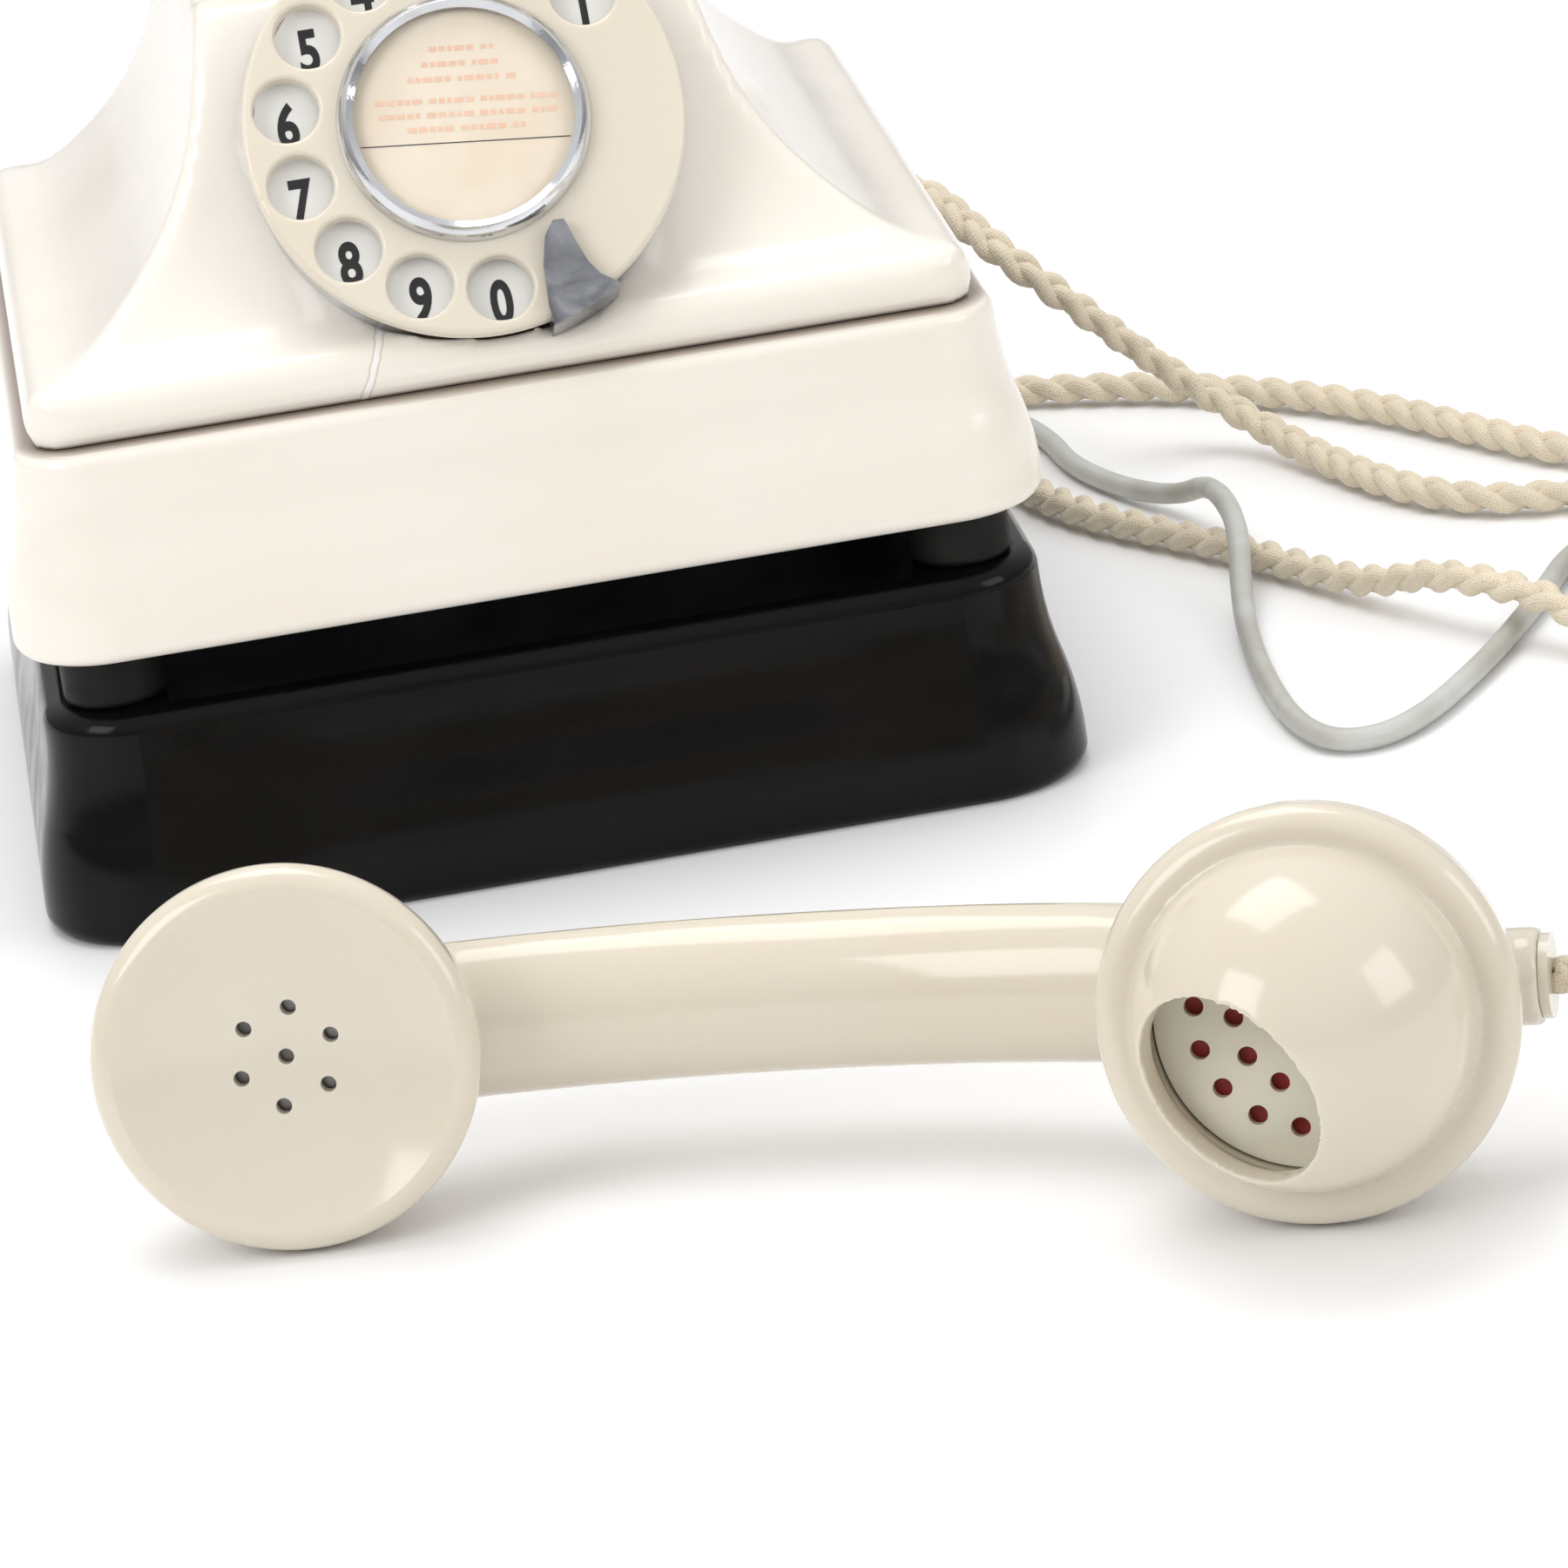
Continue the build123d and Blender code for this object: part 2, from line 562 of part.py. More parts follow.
def number_plate():
    """White enamelled plate under the finger holes."""
    return tube(NUMBER_RADIUS, 11, -NUMBER_BACK, -NUMBER_BACK + NUMBER_THICK)


def label_card():
    """Paper card behind the window."""
    return disc(BEZEL_INNER + 1, 0, 0.5)


def dial_window():
    """Clear cover over the card."""
    return disc(BEZEL_INNER + 1, 0.7, 1.7)


def governor_place():
    """Axis of the governor in the dial's frame."""
    return Rot(0, 0, GOVERNOR_TURN) * Pos(GOVERNOR_REACH, 0, 0)


def dial_chassis():
    """Round plate that carries the works, with bearings for the spindle and the governor."""
    plate = disc(RING_RADIUS - RING_WALL - LOOSE, -RING_DEPTH, CHASSIS_TOP)
    plate -= disc(SPINDLE_RADIUS + RUNNING, -RING_DEPTH - 1, CHASSIS_TOP + 1)
    return plate - governor_place() * disc(1 + RUNNING, -RING_DEPTH - 1, CHASSIS_TOP + 1)


def dial_spindle():
    """Spindle with the flange that the finger plate is fixed to."""
    return disc(SPINDLE_RADIUS, GEAR_TOP - 12, -PLATE_THICK) + disc(8, -PLATE_THICK - 1.2, -PLATE_THICK)


def toothed(radius, teeth, depth, low, high):
    """Wheel with plain teeth that reach the given radius."""
    wheel = disc(radius - depth, low, high)
    width = math.pi * radius / teeth
    for k in range(teeth):
        tooth = block(radius - depth - 0.5, radius - 0.05, -width / 2, width / 2, low, high)
        wheel += Rot(0, 0, 360 * k / teeth) * tooth
    return wheel


def main_gear():
    """Gear that the spindle turns, driving the governor's pinion."""
    gear = toothed(GEAR_RADIUS, GEAR_TEETH, 1.6, GEAR_TOP - GEAR_THICK, GEAR_TOP)
    return gear - disc(SPINDLE_RADIUS, GEAR_TOP - 9, GEAR_TOP + 1)


def impulse_cam():
    """Ten-lobed cam behind the gear."""
    low = GEAR_TOP - 6
    cam = disc(8.5, low, low + 2)
    for k in range(HOLES):
        cam += Rot(0, 0, HOLE_STEP * k) * Pos(8.4, 0, 0) * disc(1.1, low, low + 2)
    cam += disc(4.5, low + 2, GEAR_TOP - GEAR_THICK)
    return cam - disc(SPINDLE_RADIUS, low - 1, GEAR_TOP + 1)


def impulse_contacts():
    """Three contact leaves in an insulating stack beside the cam."""
    stack = block(-26, -17, 8, 16, GEAR_TOP - 10, -RING_DEPTH)
    for k in range(3):
        y = 9.0 + 2.5 * k
        stack += block(-18, 4, y + 1.8, y + 2.2, GEAR_TOP - 7, GEAR_TOP - 4)
    return stack - tube(GEAR_RADIUS + 1, 0.1, GEAR_TOP - GEAR_THICK - FREE, GEAR_TOP + FREE)


def mainspring():
    """Flat spiral spring between the chassis and the gear."""
    turns = 3.5
    steps = 14
    inner = [spiral_point(k / steps, turns, 0) for k in range(steps + 1)]
    outer = [spiral_point(k / steps, turns, 0.6) for k in range(steps + 1)]
    strip = make_face([Spline(inner), Line(inner[-1], outer[-1]), Spline(outer), Line(outer[0], inner[0])])
    return Pos(0, 0, GEAR_TOP + FREE + 0.2) * extrude(strip, -RING_DEPTH - GEAR_TOP - 2 * FREE - 0.4)


def spiral_point(share, turns, thick):
    """Point on the mainspring at a share of its length."""
    angle = 2 * math.pi * turns * share
    radius = SPINDLE_RADIUS + 1.2 + 10 * share + thick
    return (radius * math.cos(angle), radius * math.sin(angle))


def governor_spindle():
    """Thin spindle with its pinion beside the main gear."""
    pinion = toothed(PINION_RADIUS, PINION_TEETH, 1.2, GEAR_TOP - GEAR_THICK, GEAR_TOP)
    return governor_place() * (pinion + disc(1, GOVERNOR_LOW - 2, CHASSIS_TOP))


def governor_fly():
    """Two weights on spring arms that rub inside the cup."""
    low = GEAR_TOP - 13
    fly = disc(2.2, low, low + 5) + block(-5.5, 5.5, -0.6, 0.6, low + 1, low + 4)
    fly += block(4, 6.4, -2, 2, low, low + 5) + block(-6.4, -4, -2, 2, low, low + 5)
    return governor_place() * (fly - disc(1, low - 1, low + 6))


def governor_cup():
    """Brass cup that brakes the fly, with its bearing and a post up to the chassis."""
    low = GOVERNOR_LOW
    cup = disc(CUP_RADIUS, low, GEAR_TOP - 6) - disc(CUP_RADIUS - 1, low + 2, GEAR_TOP)
    cup -= disc(1 + RUNNING, low - 1, low + 3)
    post = block(CUP_RADIUS - 0.9, CUP_RADIUS + 0.6, -3, 3, low, GEAR_TOP - GEAR_THICK - 1)
    return governor_place() * (cup + post)


# ---- cradle switch ----

def plungers():
    """Two plungers in the cradle's grooves, joined by a crossbar inside the case."""
    top = GROOVE_Z + PLUNGER_PROUD
    bar = block(-PLUNGER_PLACE - 3, PLUNGER_PLACE + 3, -4, 4, BAR_Z + 3, BAR_Z + 7)
    bar += block(-5, 5, -1.2, 1.2, BAR_Z, BAR_Z + 3)
    for x in (-PLUNGER_PLACE, PLUNGER_PLACE):
        pin = disc(PLUNGER_RADIUS, BAR_Z + 3, top)
        bar += Pos(x, 0, 0) * fillet(pin.edges().group_by(Axis.Z)[-1], 1.5)
    return bar


def switch_lever():
    """Lever under the crossbar, on a pin behind it."""
    pivot_z = BAR_Z - 3
    arm = block(-4, 4, -2, LEVER_REACH, pivot_z - 3, pivot_z - 1)
    arm += block(-4, 4, -1.5, 1.5, pivot_z - 3, BAR_Z - FREE)
    arm += Pos(0, LEVER_REACH, pivot_z) * Rot(0, 90, 0) * Cylinder(3.5, 8)
    return arm - Pos(0, LEVER_REACH, pivot_z) * Rot(0, 90, 0) * Cylinder(1.5 + RUNNING, 12)


def switch_pin():
    """Pin that the lever swings on, held in the bracket's ears."""
    return Pos(0, LEVER_REACH, BAR_Z - 3) * Rot(0, 90, 0) * Cylinder(1.5, 16)


def switch_bracket():
    """Post and ears that stand on the base plate and carry the switch."""
    floor = PHONE_PLATE_Z + PHONE_PLATE
    bracket = block(-12, 12, LEVER_REACH + 6, LEVER_REACH + 8, floor, BAR_Z + 2)
    bracket += block(-12, 12, LEVER_REACH - 6, LEVER_REACH + 8, floor, floor + 2)
    for x in (-7, 7):
        bracket += block(x - 1, x + 1, LEVER_REACH - 4, LEVER_REACH + 7, BAR_Z - 8, BAR_Z + 1)
    return bracket - Pos(0, LEVER_REACH, BAR_Z - 3) * Rot(0, 90, 0) * Cylinder(1.5 + 0.02, 30)


def switch_springs():
    """Contact leaves in an insulating stack on the bracket."""
    back = LEVER_REACH + 6
    stack = block(-6, 6, back - 8, back, BAR_Z - 32, BAR_Z - 22)
    for k in range(4):
        stack += block(-1.5, 1.5, back - 30, back - 7, BAR_Z - 31 + 2.6 * k, BAR_Z - 30.5 + 2.6 * k)
    return stack


def plunger_spring():
    """Closed block of the compression spring that lifts the crossbar, on its own post."""
    return Pos(-16, 0, 0) * tube(3, 2, BAR_Z - 10, BAR_Z + 3 - 0.02)


def spring_post():
    """Post that guides the spring and bears on the bracket."""
    low = BAR_Z - 12
    post = Pos(-16, 0, 0) * (disc(1.6, low, BAR_Z - 5) + disc(4, low, BAR_Z - 10))
    return post + block(-18, -11, -3, LEVER_REACH + 6, low, low + 2)


# ---- works on the telephone's base plate ----

def induction_coil():
    """Wound coil between two square cheeks."""
    floor = PHONE_PLATE_Z + PHONE_PLATE
    core = Rot(0, 90, 0) * Cylinder(9, 44)
    cheek = Box(2, 22, 22)
    return Pos(-38, -30, floor + 11) * (core + Pos(-22, 0, 0) * cheek + Pos(22, 0, 0) * cheek)


def phone_capacitor():
    """Block capacitor."""
    floor = PHONE_PLATE_Z + PHONE_PLATE
    return fillet(block(-66, -26, 18, 40, floor, floor + 26).edges().filter_by(Axis.Z), 2)


# ---- handset, in its own frame ----

def cup_profile(radius, front, back, wall):
    """Open cup turned about its axis: the rim in front, a rounded back."""
    outer = make_face([
        Line((0, back), (radius * 0.55, back)),
        ThreePointArc((radius * 0.55, back), (radius * 0.87, back * 0.72 + front * 0.28), (radius, front)),
        Line((radius, front), (0, front)),
        Line((0, front), (0, back)),
    ])
    cup = revolve(Plane.XZ * outer, Axis.Z, 360)
    return cup - disc(radius - wall, back + wall + 2, front + 1)


def handle_bar():
    """Bent grip from cup to cup: an oval section carried along an arch."""
    path = Spline((-SPAN / 2 + 6, 0, -EAR_DEPTH - 9), (-SPAN / 4, 0, -HANDLE_ARCH + 5), (0, 0, -HANDLE_ARCH),
                  (SPAN / 4, 0, -HANDLE_ARCH + 4), (SPAN / 2 - 6, 0, -MOUTH_DEPTH - 11))
    start = Plane(path @ 0, x_dir=(0, 1, 0), z_dir=path % 0)
    return sweep(start * Ellipse(HANDLE_HIGH / 2, HANDLE_THICK / 2), path=path)


def handset_handle():
    """Moulded handle in one piece with its two cups, drilled for the wires and the cord."""
    ear_cup = EAR_LOCAL * cup_profile(
        EAR_RADIUS - 2.5, -EAR_DEPTH, -EAR_DEPTH - CUP_DEPTH, CUP_WALL)
    mouth_cup = MOUTH_LOCAL * cup_profile(
        MOUTH_RADIUS - 2.5, -MOUTH_DEPTH, -MOUTH_DEPTH - CUP_DEPTH - 4, CUP_WALL)
    bar = handle_bar()
    bar -= EAR_LOCAL * disc(EAR_RADIUS - 2.5 - CUP_WALL, -EAR_DEPTH - CUP_DEPTH + CUP_WALL + 2, 20)
    bar -= MOUTH_LOCAL * disc(MOUTH_RADIUS - 2.5 - CUP_WALL, -MOUTH_DEPTH - CUP_DEPTH - 4 + CUP_WALL + 2, 20)
    handle = ear_cup + mouth_cup + bar
    boss = CORD_END * disc(7.5, -12, -1.5)
    boss -= MOUTH_LOCAL * disc(MOUTH_RADIUS - 2.5 - CUP_WALL, -MOUTH_DEPTH - CUP_DEPTH - 4 + CUP_WALL + 2, 20)
    handle += boss
    return handle - CORD_END * disc(GROMMET_RADIUS - 0.5 + RUNNING, -20, 5)


def ear_cap():
    """Screwed cap with a dished face and seven sound holes."""
    profile = make_face([
        ThreePointArc((0, -4.6), (EAR_RADIUS * 0.52, -3.2), (EAR_RADIUS - 3.5, 0)),
        ThreePointArc((EAR_RADIUS - 3.5, 0), (EAR_RADIUS - 1, -1), (EAR_RADIUS, -3.4)),
        ThreePointArc((EAR_RADIUS, -3.4), (EAR_RADIUS - 0.5, -7.5), (EAR_RADIUS - 2.2, -EAR_DEPTH)),
        Line((EAR_RADIUS - 2.2, -EAR_DEPTH), (EAR_RADIUS - 4.6, -EAR_DEPTH)),
        Line((EAR_RADIUS - 4.6, -EAR_DEPTH), (EAR_RADIUS - 4.6, -7)),
        Line((EAR_RADIUS - 4.6, -7), (0, -7)),
        Line((0, -7), (0, -4.6)),
    ])
    cap = revolve(Plane.XZ * profile, Axis.Z, 360)
    cap -= disc(SOUND_HOLE, -9, 2)
    for k in range(6):
        cap -= Rot(0, 0, 60 * k + 22) * Pos(SOUND_RING, 0, 0) * disc(SOUND_HOLE, -9, 2)
    return cap


def receiver_capsule():
    """Metal receiver inset behind the ear cap."""
    return disc(EAR_RADIUS - 6.2, -EAR_DEPTH - 7, -8.2) + disc(EAR_RADIUS - 12, -EAR_DEPTH - 9, -EAR_DEPTH - 7)


def mouthpiece():
    """Flange and domed hood with a slanted mouth on the ear side."""
    flange = make_face([
        Line((0, 2), (MOUTH_RADIUS - 4, 2)),
        ThreePointArc((MOUTH_RADIUS - 4, 2), (MOUTH_RADIUS - 1, 0.8), (MOUTH_RADIUS, -2)),
        Line((MOUTH_RADIUS, -2), (MOUTH_RADIUS - 0.8, -MOUTH_DEPTH)),
        Line((MOUTH_RADIUS - 0.8, -MOUTH_DEPTH), (0, -MOUTH_DEPTH)),
        Line((0, -MOUTH_DEPTH), (0, 2)),
    ])
    shell = revolve(Plane.XZ * flange, Axis.Z, 360) + hood(HORN_RADIUS, HORN_RISE)
    inside = hood(HORN_RADIUS - 2.6, HORN_RISE - 2.6) + disc(HORN_RADIUS - 2.6, -MOUTH_DEPTH - 1, 0.5)
    shell -= inside
    mouth = Pos(-MOUTH_REACH, 0, MOUTH_RISE) * Rot(0, -MOUTH_LEAN, 0) * disc(MOUTH_OPENING, -4, 40)
    return shell - Rot(0, 0, MOUTH_TWIST) * mouth


def hood(radius, rise):
    """Half of a flattened ball, standing on the flange."""
    outline = make_face([
        Line((0, 0), (radius, 0)),
        ThreePointArc((radius, 0), (radius * 0.76, rise * 0.65), (0, rise)),
        Line((0, rise), (0, 0)),
    ])
    return revolve(Plane.XZ * outline, Axis.Z, 360)


def grille_disc():
    """Perforated disc behind the hood."""
    grille = disc(HORN_RADIUS - 2.9, -2.4, -0.6)
    for ring, count in ((5.0, 6), (11.0, 11), (17.0, 16)):
        for k in range(count):
            grille -= Rot(0, 0, 360 * k / count + 15) * Pos(ring, 0, 0) * disc(GRILLE_HOLE, -4, 2)
    return grille


def transmitter_capsule():
    """Carbon transmitter inset behind the grille."""
    return disc(HORN_RADIUS - 3.4, -MOUTH_DEPTH - 9, -2.9)


def handset_grommet():
    """Bush where the cord enters the handset."""
    bush = disc(GROMMET_RADIUS - 0.5, -10, 0) + disc(6.5, -1.5, 0)
    return bush - disc(3.2, -13, -3)


# ---- cords: straight runs with tangent arcs ----

HANDSET_COIL = (252, -234)
LINK_COIL = (243, -143)
LINE_COIL = (241, -42)
PLAIT_STUB = 26.0     # straight tail of a plaited coil, up to where it clears the turns
CABLE_STUB = 24.0
PLUG_LENGTH = 34.0

PHONE_TO_COIL = [
    (52, 95, 60), (52, 118, 60), (67, 133, 58), (87, 133, 56), (102, 118, 53), (107, 101, 49), (114, 90, 43),
    (127, 87, 31), (142, 89, 16), (155, 80, 7), (164, 60, 3.5), (174, 33, 3.5), (187, 16, 3.5), (208, 10, 3.5),
    (240, 12, 3.5), (280, 5, 3.5), (310, -18, 3.5), (325, -60, 3.5), (327, -102, 3.5), (320, -140, 3.5),
    (303, -167, 3.5), (292, -187, 3.5), (292, -208, 3.5),
]
COIL_TO_HANDSET = [
    (226, -274, 3.5), (207, -274, 3.5), (190, -279, 4), (173, -284, 10), (157, -286, 20),
    (143.2, -285.3, 28.3), (130.3, -280.6, 28.2),
]
PHONE_TO_LINK = [
    (14, 95, 60), (14, 114, 60), (23, 133, 45), (40, 146, 22), (62, 150, 7), (90, 146, 3.5), (118, 134, 3.5),
    (148, 120, 3.5), (178, 92, 3.5), (199, 54, 3.5), (211, 34, 3.5), (230, 29, 3.5), (254, 33, 3.5),
    (274, 32, 6), (284, 18, 17.5), (285, -12, 17.5), (284, -36, 5), (282, -60, 3.5), (283, -90, 3.5),
    (283, -117, 3.5),
]
LINK_TO_BELL = [
    (203, -117, 3.5), (203, -98, 3.5), (192, -78, 5), (181, -62, 15.5), (166, -40, 15.5), (157, -24, 5),
    (148, -6, 3.5), (136, 17, 3.5), (117, 44, 3.5), (107, 70, 3.5), (106, 95, 3.5), (101, 115, 3.5),
    (86, 129, 3.5), (64, 129, 5), (50, 114, 9), (50, 97, 9),
]
PHONE_LINE = [
    (28, 97, 9), (28, 116, 9), (42, 132, 3), (66, 138, 2.5), (92, 136, 2.5), (111, 124, 2.5), (118, 104, 2.5),
    (119, 82, 2.5), (126, 62, 2.5), (134, 46, 5), (138, 30, 14.5), (138, 4, 14.5), (134, -14, 5),
    (131, -34, 2.5), (129, -60, 2.5), (129, -84, 2.5), (134, -99, 2.5), (147, -97, 2.5), (166, -72, 2.5),
    (184, -42, 2.5), (198, -14.5, 2.5), (217, -14.5, 2.5),
]


def bend_radii(route):
    """Radius of each arc: as large as its two runs allow."""
    points = [Vector(*point) for point in route]
    radii = []
    for before, here, after in zip(points, points[1:], points[2:]):
        first = here - before
        second = after - here
        half_turn = math.radians(first.get_angle(second)) / 2
        radii.append(BEND_SHARE * min(first.length, second.length) / math.tan(half_turn))
    return radii


def cord_tube(name, route, diameter):
    """Round cord along straight runs joined by tangent arcs."""
    radii = bend_radii(route)
    path = FilletPolyline(*route, radius=radii)
    start = Plane(path @ 0, z_dir=path % 0)
    cord = sweep(start * Circle(diameter / 2), path=path)
    expected = math.pi * diameter ** 2 / 4 * path.length
    print(f"{name}: length {path.length:.0f}, volume share {cord.volume / expected:.4f}, "
          f"least radius {min(radii):.1f}")
    return cord


def wound(centre, turn_radius, diameter, wide, high, enters, leaves, reach):
    """Outer shape of a coil lying flat, with a straight tail where the cord comes in and where it goes out."""
    half = wide * diameter / 2
    ring = tube(turn_radius + half, turn_radius - half, 0, high * diameter)
    ring = fillet(ring.edges().filter_by(GeomType.CIRCLE), diameter * 0.3)
    for angle, way in ((enters, -90), (leaves, 90)):
        tail = Pos(turn_radius, 0, diameter / 2) * Rot(way, 0, 0) * disc(diameter / 2, 0, reach)
        ring += Rot(0, 0, angle) * tail
    return Pos(centre[0], centre[1], 0) * ring


def handset_cord_coil():
    """Put-away turns of the handset cord."""
    return wound(HANDSET_COIL, COIL_TURN, PLAIT, 1, 2, 0, -90, PLAIT_STUB)


def link_cord_coil():
    """Put-away turns of the link cord."""
    return wound(LINK_COIL, COIL_TURN, PLAIT, 1, 2, 0, 180, PLAIT_STUB)


def line_cord_coil():
    """Put-away turns of the line cable."""
    return wound(LINE_COIL, CABLE_TURN, CABLE, 2, 3, 90, 0, CABLE_STUB)


def line_plug():
    """Small flat plug with four blades and a ribbed grip."""
    x = LINE_COIL[0] + CABLE_TURN
    y = LINE_COIL[1] - CABLE_STUB
    body = block(x - 6.5, x + 6.5, y - PLUG_LENGTH + 9, y - 6, 0, 11)
    body = fillet(body.edges().filter_by(Axis.Y), 2)
    neck = Pos(x, y, CABLE / 2 + 0.6) * Rot(90, 0, 0) * disc(3, 0, 8)
    plug = body + neck
    for k in range(4):
        blade_x = x - 4.5 + 3 * k
        plug += block(blade_x - 0.5, blade_x + 0.5, y - PLUG_LENGTH, y - PLUG_LENGTH + 10, 3, 8)
    return plug


def outlet_bush(x, level, face):
    """Cord bush in a rear wall."""
    return Pos(x, face, level) * grommet(GROMMET_RADIUS, PLAIT / 2, 9, 1.5)


def case_grommets():
    """Two bushes in the plinth's rear wall."""
    return outlet_bush(HANDSET_OUT_X, OUTLET_Z, OUTLET_FACE) + outlet_bush(LINK_OUT_X, OUTLET_Z, OUTLET_FACE)


def bell_grommets():
    """Two bushes in the bell set's rear wall."""
    return outlet_bush(LINK_LOW_X, GROMMET_Z, BELL_FACE) + outlet_bush(LINE_X, GROMMET_Z, BELL_FACE)


FIXED_PARTS = {
    "bell_case": bell_case,
    "bell_base_plate": bell_base_plate,
    "gong_left": lambda: gong(-1),
    "gong_right": lambda: gong(1),
    "gong_posts": gong_posts,
    "gong_screws": gong_screws,
    "ringer_yoke": lambda: ringer_yoke() + armature_pin(),
    "ringer_coils": ringer_coils,
    "ringer_magnet": ringer_magnet,
    "armature": armature,
    "clapper": clapper,
    "bell_capacitor": bell_capacitor,
    "bell_terminals": lambda: Pos(52, 46, 0) * terminal_block(44, 14, PLATE_TOP, 5),
    "plinth": plinth,
    "phone_base_plate": phone_base_plate,
    "rubber_feet": rubber_feet,
    "machine_screws": lambda: bell_screws() + base_screws() + case_screws(),
    "upper_case": upper_case,
    "cord_bushes": lambda: case_grommets() + bell_grommets(),
    "phone_terminals": lambda: Pos(36, 46, 0) * terminal_block(52, 14, PHONE_PLATE_Z + PHONE_PLATE, 6),
    "induction_coil": induction_coil,
    "phone_capacitor": phone_capacitor,
    "plungers": plungers,
    "plunger_spring": plunger_spring,
    "switch_lever": switch_lever,
    "switch_pin": switch_pin,
    "switch_bracket": lambda: switch_bracket() + spring_post(),
    "switch_springs": switch_springs,
}

DIAL_PARTS = {
    "finger_plate": finger_plate,
    "dial_bezel": bezel,
    "label_card": label_card,
    "dial_window": dial_window,
    "number_plate": number_plate,
    "dial_ring": dial_ring,
    "finger_stop": lambda: stop_shape(0, 0),
    "dial_chassis": dial_chassis,
    "dial_spindle": dial_spindle,
    "main_gear": main_gear,
    "impulse_cam": impulse_cam,
    "impulse_contacts": impulse_contacts,
    "mainspring": mainspring,
    "governor_spindle": governor_spindle,
    "governor_fly": governor_fly,
    "governor_cup": governor_cup,
}

HANDSET_PARTS = {
    "handset_handle": handset_handle,
    "handset_grommet": lambda: CORD_END * handset_grommet(),
    "ear_cap": lambda: EAR_LOCAL * ear_cap(),
    "receiver_capsule": lambda: EAR_LOCAL * receiver_capsule(),
    "mouthpiece": lambda: MOUTH_LOCAL * mouthpiece(),
    "grille_disc": lambda: MOUTH_LOCAL * grille_disc(),
    "transmitter_capsule": lambda: MOUTH_LOCAL * transmitter_capsule(),
}

CORDS = {
    "handset_cord_a": (PHONE_TO_COIL, PLAIT),
    "handset_cord_b": (COIL_TO_HANDSET, PLAIT),
    "link_cord_a": (PHONE_TO_LINK, PLAIT),
    "link_cord_b": (LINK_TO_BELL, PLAIT),
    "line_cord": (PHONE_LINE, CABLE),
}

COILS = {
    "handset_cord_coil": handset_cord_coil,
    "link_cord_coil": link_cord_coil,
    "line_cord_coil": line_cord_coil,
    "line_plug": line_plug,
}

for name, make in {**FIXED_PARTS, **COILS}.items():
    save(name, make())
for name, make in DIAL_PARTS.items():
    save(name, DIAL * make())
for name, make in HANDSET_PARTS.items():
    save(name, HANDSET * make())
for name, (route, diameter) in CORDS.items():
    save(name, cord_tube(name, route, diameter))
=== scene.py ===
"""Desk telephone with a rotary dial on its bell set: the finished looks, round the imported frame.

Metres, in the frame's own axes: +X to the right of someone facing the dial, -Y towards them, +Z up.
"""
from __future__ import annotations

import json
import logging
import math
from dataclasses import dataclass, field, replace
from enum import Enum
from typing import Sequence

import bpy
from mathutils import Matrix, Vector

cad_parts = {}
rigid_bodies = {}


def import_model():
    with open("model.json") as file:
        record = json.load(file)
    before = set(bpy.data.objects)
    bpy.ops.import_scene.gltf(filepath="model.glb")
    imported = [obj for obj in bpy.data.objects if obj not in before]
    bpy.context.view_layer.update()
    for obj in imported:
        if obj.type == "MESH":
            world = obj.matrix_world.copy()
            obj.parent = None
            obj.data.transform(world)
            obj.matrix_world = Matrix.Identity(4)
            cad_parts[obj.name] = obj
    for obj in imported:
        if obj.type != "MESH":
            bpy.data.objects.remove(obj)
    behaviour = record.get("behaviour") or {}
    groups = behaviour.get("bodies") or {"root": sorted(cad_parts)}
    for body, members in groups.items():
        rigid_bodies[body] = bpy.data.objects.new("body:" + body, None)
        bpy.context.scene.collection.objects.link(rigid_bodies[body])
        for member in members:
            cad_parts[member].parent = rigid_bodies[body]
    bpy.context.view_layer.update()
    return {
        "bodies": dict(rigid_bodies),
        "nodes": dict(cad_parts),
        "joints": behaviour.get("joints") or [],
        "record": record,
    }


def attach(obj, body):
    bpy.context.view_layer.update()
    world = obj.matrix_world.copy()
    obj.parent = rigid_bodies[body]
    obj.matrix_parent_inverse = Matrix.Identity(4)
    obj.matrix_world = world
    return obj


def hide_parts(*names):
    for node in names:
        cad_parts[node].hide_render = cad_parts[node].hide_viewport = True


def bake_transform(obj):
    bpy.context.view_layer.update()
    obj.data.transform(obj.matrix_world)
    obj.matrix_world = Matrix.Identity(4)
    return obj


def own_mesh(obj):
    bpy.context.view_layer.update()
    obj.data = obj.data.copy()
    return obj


LOG = logging.getLogger("telephone")
MM = 0.001
WELD = 0.00001  # vertices nearer than this are one
JOINT_LEVEL = 0.088  # height of the line between the plinth and the upper case
Colour = tuple[float, float, float]
Point = tuple[float, float, float]
Material = bpy.types.Material
Node = bpy.types.Node
Piece = bpy.types.Object
Socket = bpy.types.NodeSocket
Tree = bpy.types.NodeTree


class Body(str, Enum):
    """Bodies of the frame that new pieces ride on."""

    TELEPHONE = "body"
    DIAL = "dial"
    HANDSET = "handset"


# ---- Modelling helpers ----


def deselect() -> None:
    """Leave nothing selected and object mode on."""
    if bpy.context.object and bpy.context.object.mode != "OBJECT":
        bpy.ops.object.mode_set(mode="OBJECT")
    for item in bpy.context.view_layer.objects:
        item.select_set(False)


def activate(piece: Piece) -> None:
    """Make one object the only selected and active one.

    Args:
        piece: the object.
    """
    deselect()
    piece.select_set(True)
    bpy.context.view_layer.objects.active = piece


def link(name: str, data: bpy.types.ID) -> Piece:
    """Put new data into the scene as an object at the origin.

    Args:
        name: the piece's name.
        data: its mesh or curve.

    Returns:
        The new object.
    """
    piece = bpy.data.objects.new(name, data)
    bpy.context.scene.collection.objects.link(piece)
    return piece


